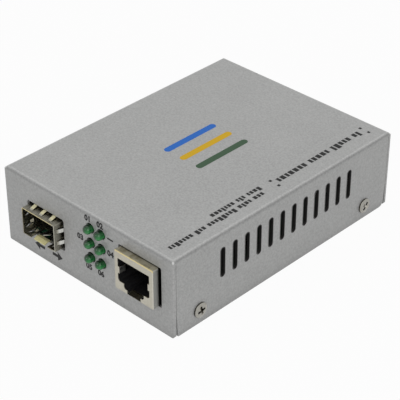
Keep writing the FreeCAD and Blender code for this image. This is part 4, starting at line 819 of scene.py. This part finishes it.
def pan_head(sizes, height):
    """Pan-head screw along +Z with its seat at nought. The top is a square grid: its middle is the
    cross recess, whose walls follow grid lines, and outside it the square rounds off to the rim.
    The crown falls as (1 - (r / R) ^ 2.6) ^ 0.6, and the skirt and shank are turned."""
    radius, shank = sizes.head_radius, sizes.shank_radius
    half, arm = 0.5 * sizes.recess_span, 0.5 * sizes.recess_width
    wall = 0.00003              # half of what a recess wall takes up across
    square = half * 1.06        # the grid is square out to here
    steps = [0, 0.5 * arm, arm - wall, arm + wall]
    steps += [0.45 * half, 0.6 * half, 0.8 * half, half, square]
    rounding = np.array([0.2, 0.4, 0.6, 0.75, 0.87, 0.95, 1.0])
    line = np.concatenate([steps, square + (radius - square) * rounding])
    line = np.concatenate([-line[:0:-1], line])
    u, v = np.meshgrid(line, line, indexing="ij")
    reach = np.maximum(np.abs(u), np.abs(v))
    apart = np.maximum(np.hypot(u, v), 1e-9)
    blend = np.clip((reach - square) / (radius - square), 0.0, 1.0)
    inner = np.where(reach > square, square / np.maximum(reach, 1e-9), 1.0)
    outer = radius / apart
    factor = np.where(reach > square, (1 - blend) * inner + blend * outer, 1.0)
    x, y = u * factor, v * factor
    fall = np.clip(np.hypot(x, y) / radius, 0.0, 1.0)
    top = sizes.head_rim + (height - sizes.head_rim) * (1 - fall**2.6) ** 0.6

    def groove(along, across):
        """One arm: full depth over its inner half, then rising to nought at its ends."""
        ends = np.clip((half - np.abs(along)) / (0.4 * half), 0.0, 1.0)
        return np.where(np.abs(across) < arm, sizes.recess_depth * ends, 0.0)

    top = top - np.maximum(groove(x, y), groove(y, x))
    crown = np.stack([x, y, top], axis=-1)
    last = len(line) - 1
    edge = np.concatenate(
        [crown[:last, 0], crown[last, :last], crown[last:0:-1, last], crown[0, last:0:-1]]
    )
    way = edge[:, :2] / np.linalg.norm(edge[:, :2], axis=1)[:, None]
    skirt = [(radius, sizes.head_rim), (radius * 0.995, 0.00005), (radius * 0.98, 0.0)]
    skirt += [(shank, 0.0), (shank, -SHANK_LENGTH), (0.0, -SHANK_LENGTH)]
    rows = [np.column_stack([way * out, np.full(len(way), level)]) for out, level in skirt]
    return [(crown, False), (np.stack(rows), True)]


class CONVERTER_OT_screws(bpy.types.Operator):
    """Shape the cover's four pan-head screws with their cross recesses"""

    bl_idname = "converter.screws"
    bl_label = "Cover screws"
    bl_options = {"REGISTER", "UNDO"}

    def execute(self, context):
        sizes = context.scene.converter_turned
        low, high = (np.array(corner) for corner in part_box("cover_screws"))
        height = min(sizes.head_height, high[0] - CASE_HIGH[0])
        inset = 0.5 * (high[2] - low[2])
        ends = ((low[1] + inset, RECESS_TURNS[0]), (high[1] - inset, RECESS_TURNS[1]))
        centre = 0.5 * (low[2] + high[2])
        ahead, down = SCREW_SHIFT
        patches = []
        for side in (-1, 1):
            seat = side * CASE_HIGH[0]
            for end, turn in ends:
                for grid, wrap in pan_head(sizes, height):
                    a, b, out = np.moveaxis(grid, -1, 0)
                    y = a * math.cos(turn) - b * math.sin(turn)
                    z = a * math.sin(turn) + b * math.cos(turn)
                    spots = [seat + side * out, end - ahead + y, centre - down + z]
                    patches.append((np.stack(spots, axis=-1), wrap))
        material = frame["nodes"]["cover_screws"].material_slots[0].material
        mesh = mesh_of("cover_pan_heads", patches)
        piece("cover_pan_heads", mesh, material, ["cover_screws"])
        return {"FINISHED"}


class CONVERTER_OT_bars(bpy.types.Operator):
    """Print three plain parallel bars on the lid, one in each colour. Their ends are half circles:
    half * (1 - cos(t)) along and half * sin(t) to each side, with t from 0 to a quarter turn"""

    bl_idname = "converter.bars"
    bl_label = "Bars on the lid"
    bl_options = {"REGISTER", "UNDO"}

    def execute(self, context):
        inks = context.scene.converter_print
        half = 0.5 * inks.stroke
        turn = np.linspace(0.0, 0.5 * math.pi, 10)
        cap = half * (1.0 - np.cos(turn))
        along = np.concatenate([cap, inks.bar_length - cap[::-1]])
        width = 2 * half * np.concatenate([np.sin(turn), np.sin(turn[::-1])])
        rows = (("blue", inks.blue, -1), ("yellow", inks.yellow, 0), ("green", inks.green, 1))
        for name, tint, row in rows:
            across = np.full(len(along), row * inks.bar_pitch)
            path = np.column_stack([across, along - BAR_AHEAD * inks.bar_length])
            mesh = mesh_of("bar_" + name, ribbon(path, width, inks.film, on_lid))
            piece("bar_" + name, mesh, ink("converter_ink_" + name, tuple(tint)))
        return {"FINISHED"}


def word_marks(first, last, across, tall, seed):
    """Bars (y, x, wide, high) for one line of small print: groups of three to eight short bars with
    wider gaps between the groups."""
    chance = np.random.default_rng(seed)
    marks, place, left = [], first, chance.integers(3, 9)
    while place < last - WORD_GAP * tall:
        wide = tall * chance.choice(LETTER_WIDTHS)
        high = tall * chance.choice(LETTER_HEIGHTS)
        marks.append((place + 0.5 * wide, across - 0.5 * (tall - high), wide, high))
        place += wide + LETTER_GAP * tall
        left -= 1
        if left == 0:
            place += WORD_GAP * tall
            left = chance.integers(3, 9)
    return marks


class CONVERTER_OT_lid_marks(bpy.types.Operator):
    """Print the rows of small plain bars along the lid's edge"""

    bl_idname = "converter.lid_marks"
    bl_label = "Rows on the lid"
    bl_options = {"REGISTER", "UNDO"}

    def execute(self, context):
        inks = context.scene.converter_print
        patches = []
        for row in LID_ROWS:
            for y, x, wide, high in word_marks(*row):
                patches += bar((x * MM, y * MM), (high * MM, wide * MM), inks.film, on_lid)
        for x, y in LID_SQUARES:
            size = (SQUARE_WIDTH * MM, SQUARE_WIDTH * MM)
            patches += bar((x * MM, y * MM), size, inks.film, on_lid)
        black = ink("converter_ink_black", tuple(inks.black))
        piece("lid_rows", mesh_of("lid_rows", patches), black)
        return {"FINISHED"}


def number_mesh(text, height):
    """Outline of a plain number, filled and raised, as a mesh with its middle at the origin."""
    curve = bpy.data.curves.new("number", "FONT")
    curve.body = text
    curve.align_x, curve.align_y = "CENTER", "CENTER"
    curve.size = height / CAPITAL
    curve.extrude = NUMBER_RISE
    curve.offset = NUMBER_BOLD
    curve.resolution_u = 3
    shape = bpy.data.objects.new("number", curve)
    mesh = bpy.data.meshes.new_from_object(shape)
    bpy.data.objects.remove(shape)
    bpy.data.curves.remove(curve)
    return mesh


class CONVERTER_OT_port_marks(bpy.types.Operator):
    """Print plain numbers beside the lamps, a dash, and arrows under the module bay"""

    bl_idname = "converter.port_marks"
    bl_label = "Marks at the ports"
    bl_options = {"REGISTER", "UNDO"}

    def execute(self, context):
        inks = context.scene.converter_print
        black = ink("converter_ink_black", tuple(inks.black))
        work = bmesh.new()
        for text, x, z in NUMBERS:
            mesh = number_mesh(text, inks.digit)
            flat = np.empty(len(mesh.vertices) * 3)
            mesh.vertices.foreach_get("co", flat)
            u, v, w = flat.reshape(-1, 3).T
            points = on_front(u + x * MM, v + z * MM, w - w.min())
            mesh.vertices.foreach_set("co", points.ravel())
            work.from_mesh(mesh)
            bpy.data.meshes.remove(mesh)
        marks = bpy.data.meshes.new("lamp_numbers")
        work.to_mesh(marks)
        work.free()
        close_up(marks)
        piece("lamp_numbers", marks, black)
        place, size = (tuple(part * MM for part in pair) for pair in (DASH, DASH_SIZE))
        patches = bar(place, size, inks.film, on_front)
        for x, z, way in ARROWS:
            tail, neck, tip = ((x + way * step) * MM for step in ARROW_STEPS)
            shaft = np.array([(tail, z * MM), (neck, z * MM)])
            head = np.array([(neck, z * MM), (tip, z * MM)])
            patches += ribbon(shaft, ARROW_TAIL * MM, inks.film, on_front)
            patches += ribbon(head, np.array([ARROW_HEAD * MM, 0.0]), inks.film, on_front)
        piece("port_arrows", mesh_of("port_arrows", patches), black)
        return {"FINISHED"}


# stage: white for what the camera sees, and grey for the light that the surroundings give
WHITE = (1.0, 1.0, 1.0, 1.0)
SURROUNDINGS = (0.65, 0.65, 0.65, 1.0)
FLOOR_REACH = 1.5
FLOOR_LEVEL = -0.0002    # a little under the feet
FLOOR_WHITE = 0.96       # how much of the floor that the camera sees is plain white
TARGET = Vector((5.56, -6.24, 13.0)) * MM    # what the camera and the lights face

# square lights that face the target: name, place and size in metres, power in watts
LIGHTS = (
    ("overhead", (-0.30, 0.30, 1.30), 1.2, 1.45),
    ("right_fill", (1.30, -0.70, 0.76), 1.3, 8.5),
    ("front_fill", (-0.45, -1.30, 0.78), 0.5, 2.15),
)


def seen_white(shader):
    """One for rays that come from the camera, a reflection or clear material, else nought."""
    path = shader.add("ShaderNodeLightPath").outputs
    seen = shader.math("MAXIMUM", path["Is Camera Ray"], path["Is Glossy Ray"])
    return shader.math("MAXIMUM", seen, path["Is Transmission Ray"])


class CONVERTER_OT_stage(bpy.types.Operator):
    """Set out the pale floor, the soft lights and the camera"""

    bl_idname = "converter.stage"
    bl_label = "Stage"
    bl_options = {"REGISTER", "UNDO"}

    def execute(self, context):
        stage = context.scene.converter_stage
        scene = context.scene
        scene.view_settings.view_transform = "Standard"

        world = bpy.data.worlds.new("converter_world")
        scene.world = world
        world.use_nodes = True
        sky = Shader(world.node_tree)
        backdrop = sky.nodes["Background"].inputs
        sky.feed(backdrop["Color"], sky.mix(seen_white(sky), SURROUNDINGS, WHITE))

        corners = FLOOR_REACH * np.array([(-1.0, -1.0), (1.0, -1.0), (1.0, 1.0), (-1.0, 1.0)])
        points = np.column_stack([corners, np.full(4, FLOOR_LEVEL)])
        mesh = bpy.data.meshes.new("floor")
        mesh.from_pydata(points.tolist(), [], [(0, 1, 2, 3)])
        floor = bpy.data.objects.new("floor", mesh)
        scene.collection.objects.link(floor)
        material = bpy.data.materials.new("converter_floor")
        material.use_nodes = True
        shader = Shader(material.node_tree)
        shader.nodes.clear()
        matt = shader.add("ShaderNodeBsdfDiffuse", Color=opaque(stage.floor))
        glow = shader.add("ShaderNodeEmission", Color=WHITE, Strength=1.0)
        both = shader.add("ShaderNodeMixShader")
        shader.feed(both.inputs[0], shader.math("MULTIPLY", seen_white(shader), FLOOR_WHITE))
        shader.feed(both.inputs[1], matt.outputs[0])
        shader.feed(both.inputs[2], glow.outputs[0])
        shader.add("ShaderNodeOutputMaterial", Surface=both.outputs[0])
        mesh.materials.append(material)

        for name, place, size, power in LIGHTS:
            lamp = bpy.data.lights.new(name, "AREA")
            lamp.size, lamp.energy = size, power
            light = bpy.data.objects.new(name, lamp)
            light.location = place
            light.rotation_euler = (TARGET - Vector(place)).to_track_quat("-Z", "Y").to_euler()
            scene.collection.objects.link(light)

        turn, tilt = stage.azimuth, stage.elevation
        away = Vector(
            (math.sin(turn) * math.cos(tilt), -math.cos(turn) * math.cos(tilt), math.sin(tilt))
        )
        view = bpy.data.cameras.new("camera")
        view.lens, view.sensor_width = stage.lens, 36.0
        camera = bpy.data.objects.new("camera", view)
        camera.location = TARGET + away * stage.distance
        camera.rotation_euler = (-away).to_track_quat("-Z", "Y").to_euler()
        scene.collection.objects.link(camera)
        scene.camera = camera
        return {"FINISHED"}


# ---------------------------------------------------------------- panel and main
OPERATORS = (
    CONVERTER_OT_finish,
    CONVERTER_OT_lamps,
    CONVERTER_OT_screws,
    CONVERTER_OT_bars,
    CONVERTER_OT_lid_marks,
    CONVERTER_OT_port_marks,
    CONVERTER_OT_stage,
)
SETTINGS = {
    "converter_finish": ConverterFinish,
    "converter_print": ConverterPrint,
    "converter_turned": ConverterTurned,
    "converter_stage": ConverterStage,
}


class CONVERTER_PT_panel(bpy.types.Panel):
    """Lists the operators and the settings"""

    bl_idname = "CONVERTER_PT_panel"
    bl_label = "Fibre media converter"
    bl_space_type = "VIEW_3D"
    bl_region_type = "UI"
    bl_category = "Converter"

    def draw(self, context):
        for operator in OPERATORS:
            self.layout.operator(operator.bl_idname)
        for name, group in SETTINGS.items():
            box = self.layout.box()
            for setting in group.__annotations__:
                box.prop(getattr(context.scene, name), setting)


def register():
    for group in (*SETTINGS.values(), *OPERATORS, CONVERTER_PT_panel):
        bpy.utils.register_class(group)
    for name, group in SETTINGS.items():
        setattr(bpy.types.Scene, name, PointerProperty(type=group))


def unregister():
    for name in SETTINGS:
        delattr(bpy.types.Scene, name)
    for group in reversed((*SETTINGS.values(), *OPERATORS, CONVERTER_PT_panel)):
        bpy.utils.unregister_class(group)


def main():
    register()
    for operator in OPERATORS:
        family, name = operator.bl_idname.split(".")
        getattr(getattr(bpy.ops, family), name)()


if __name__ == "__main__":
    main()
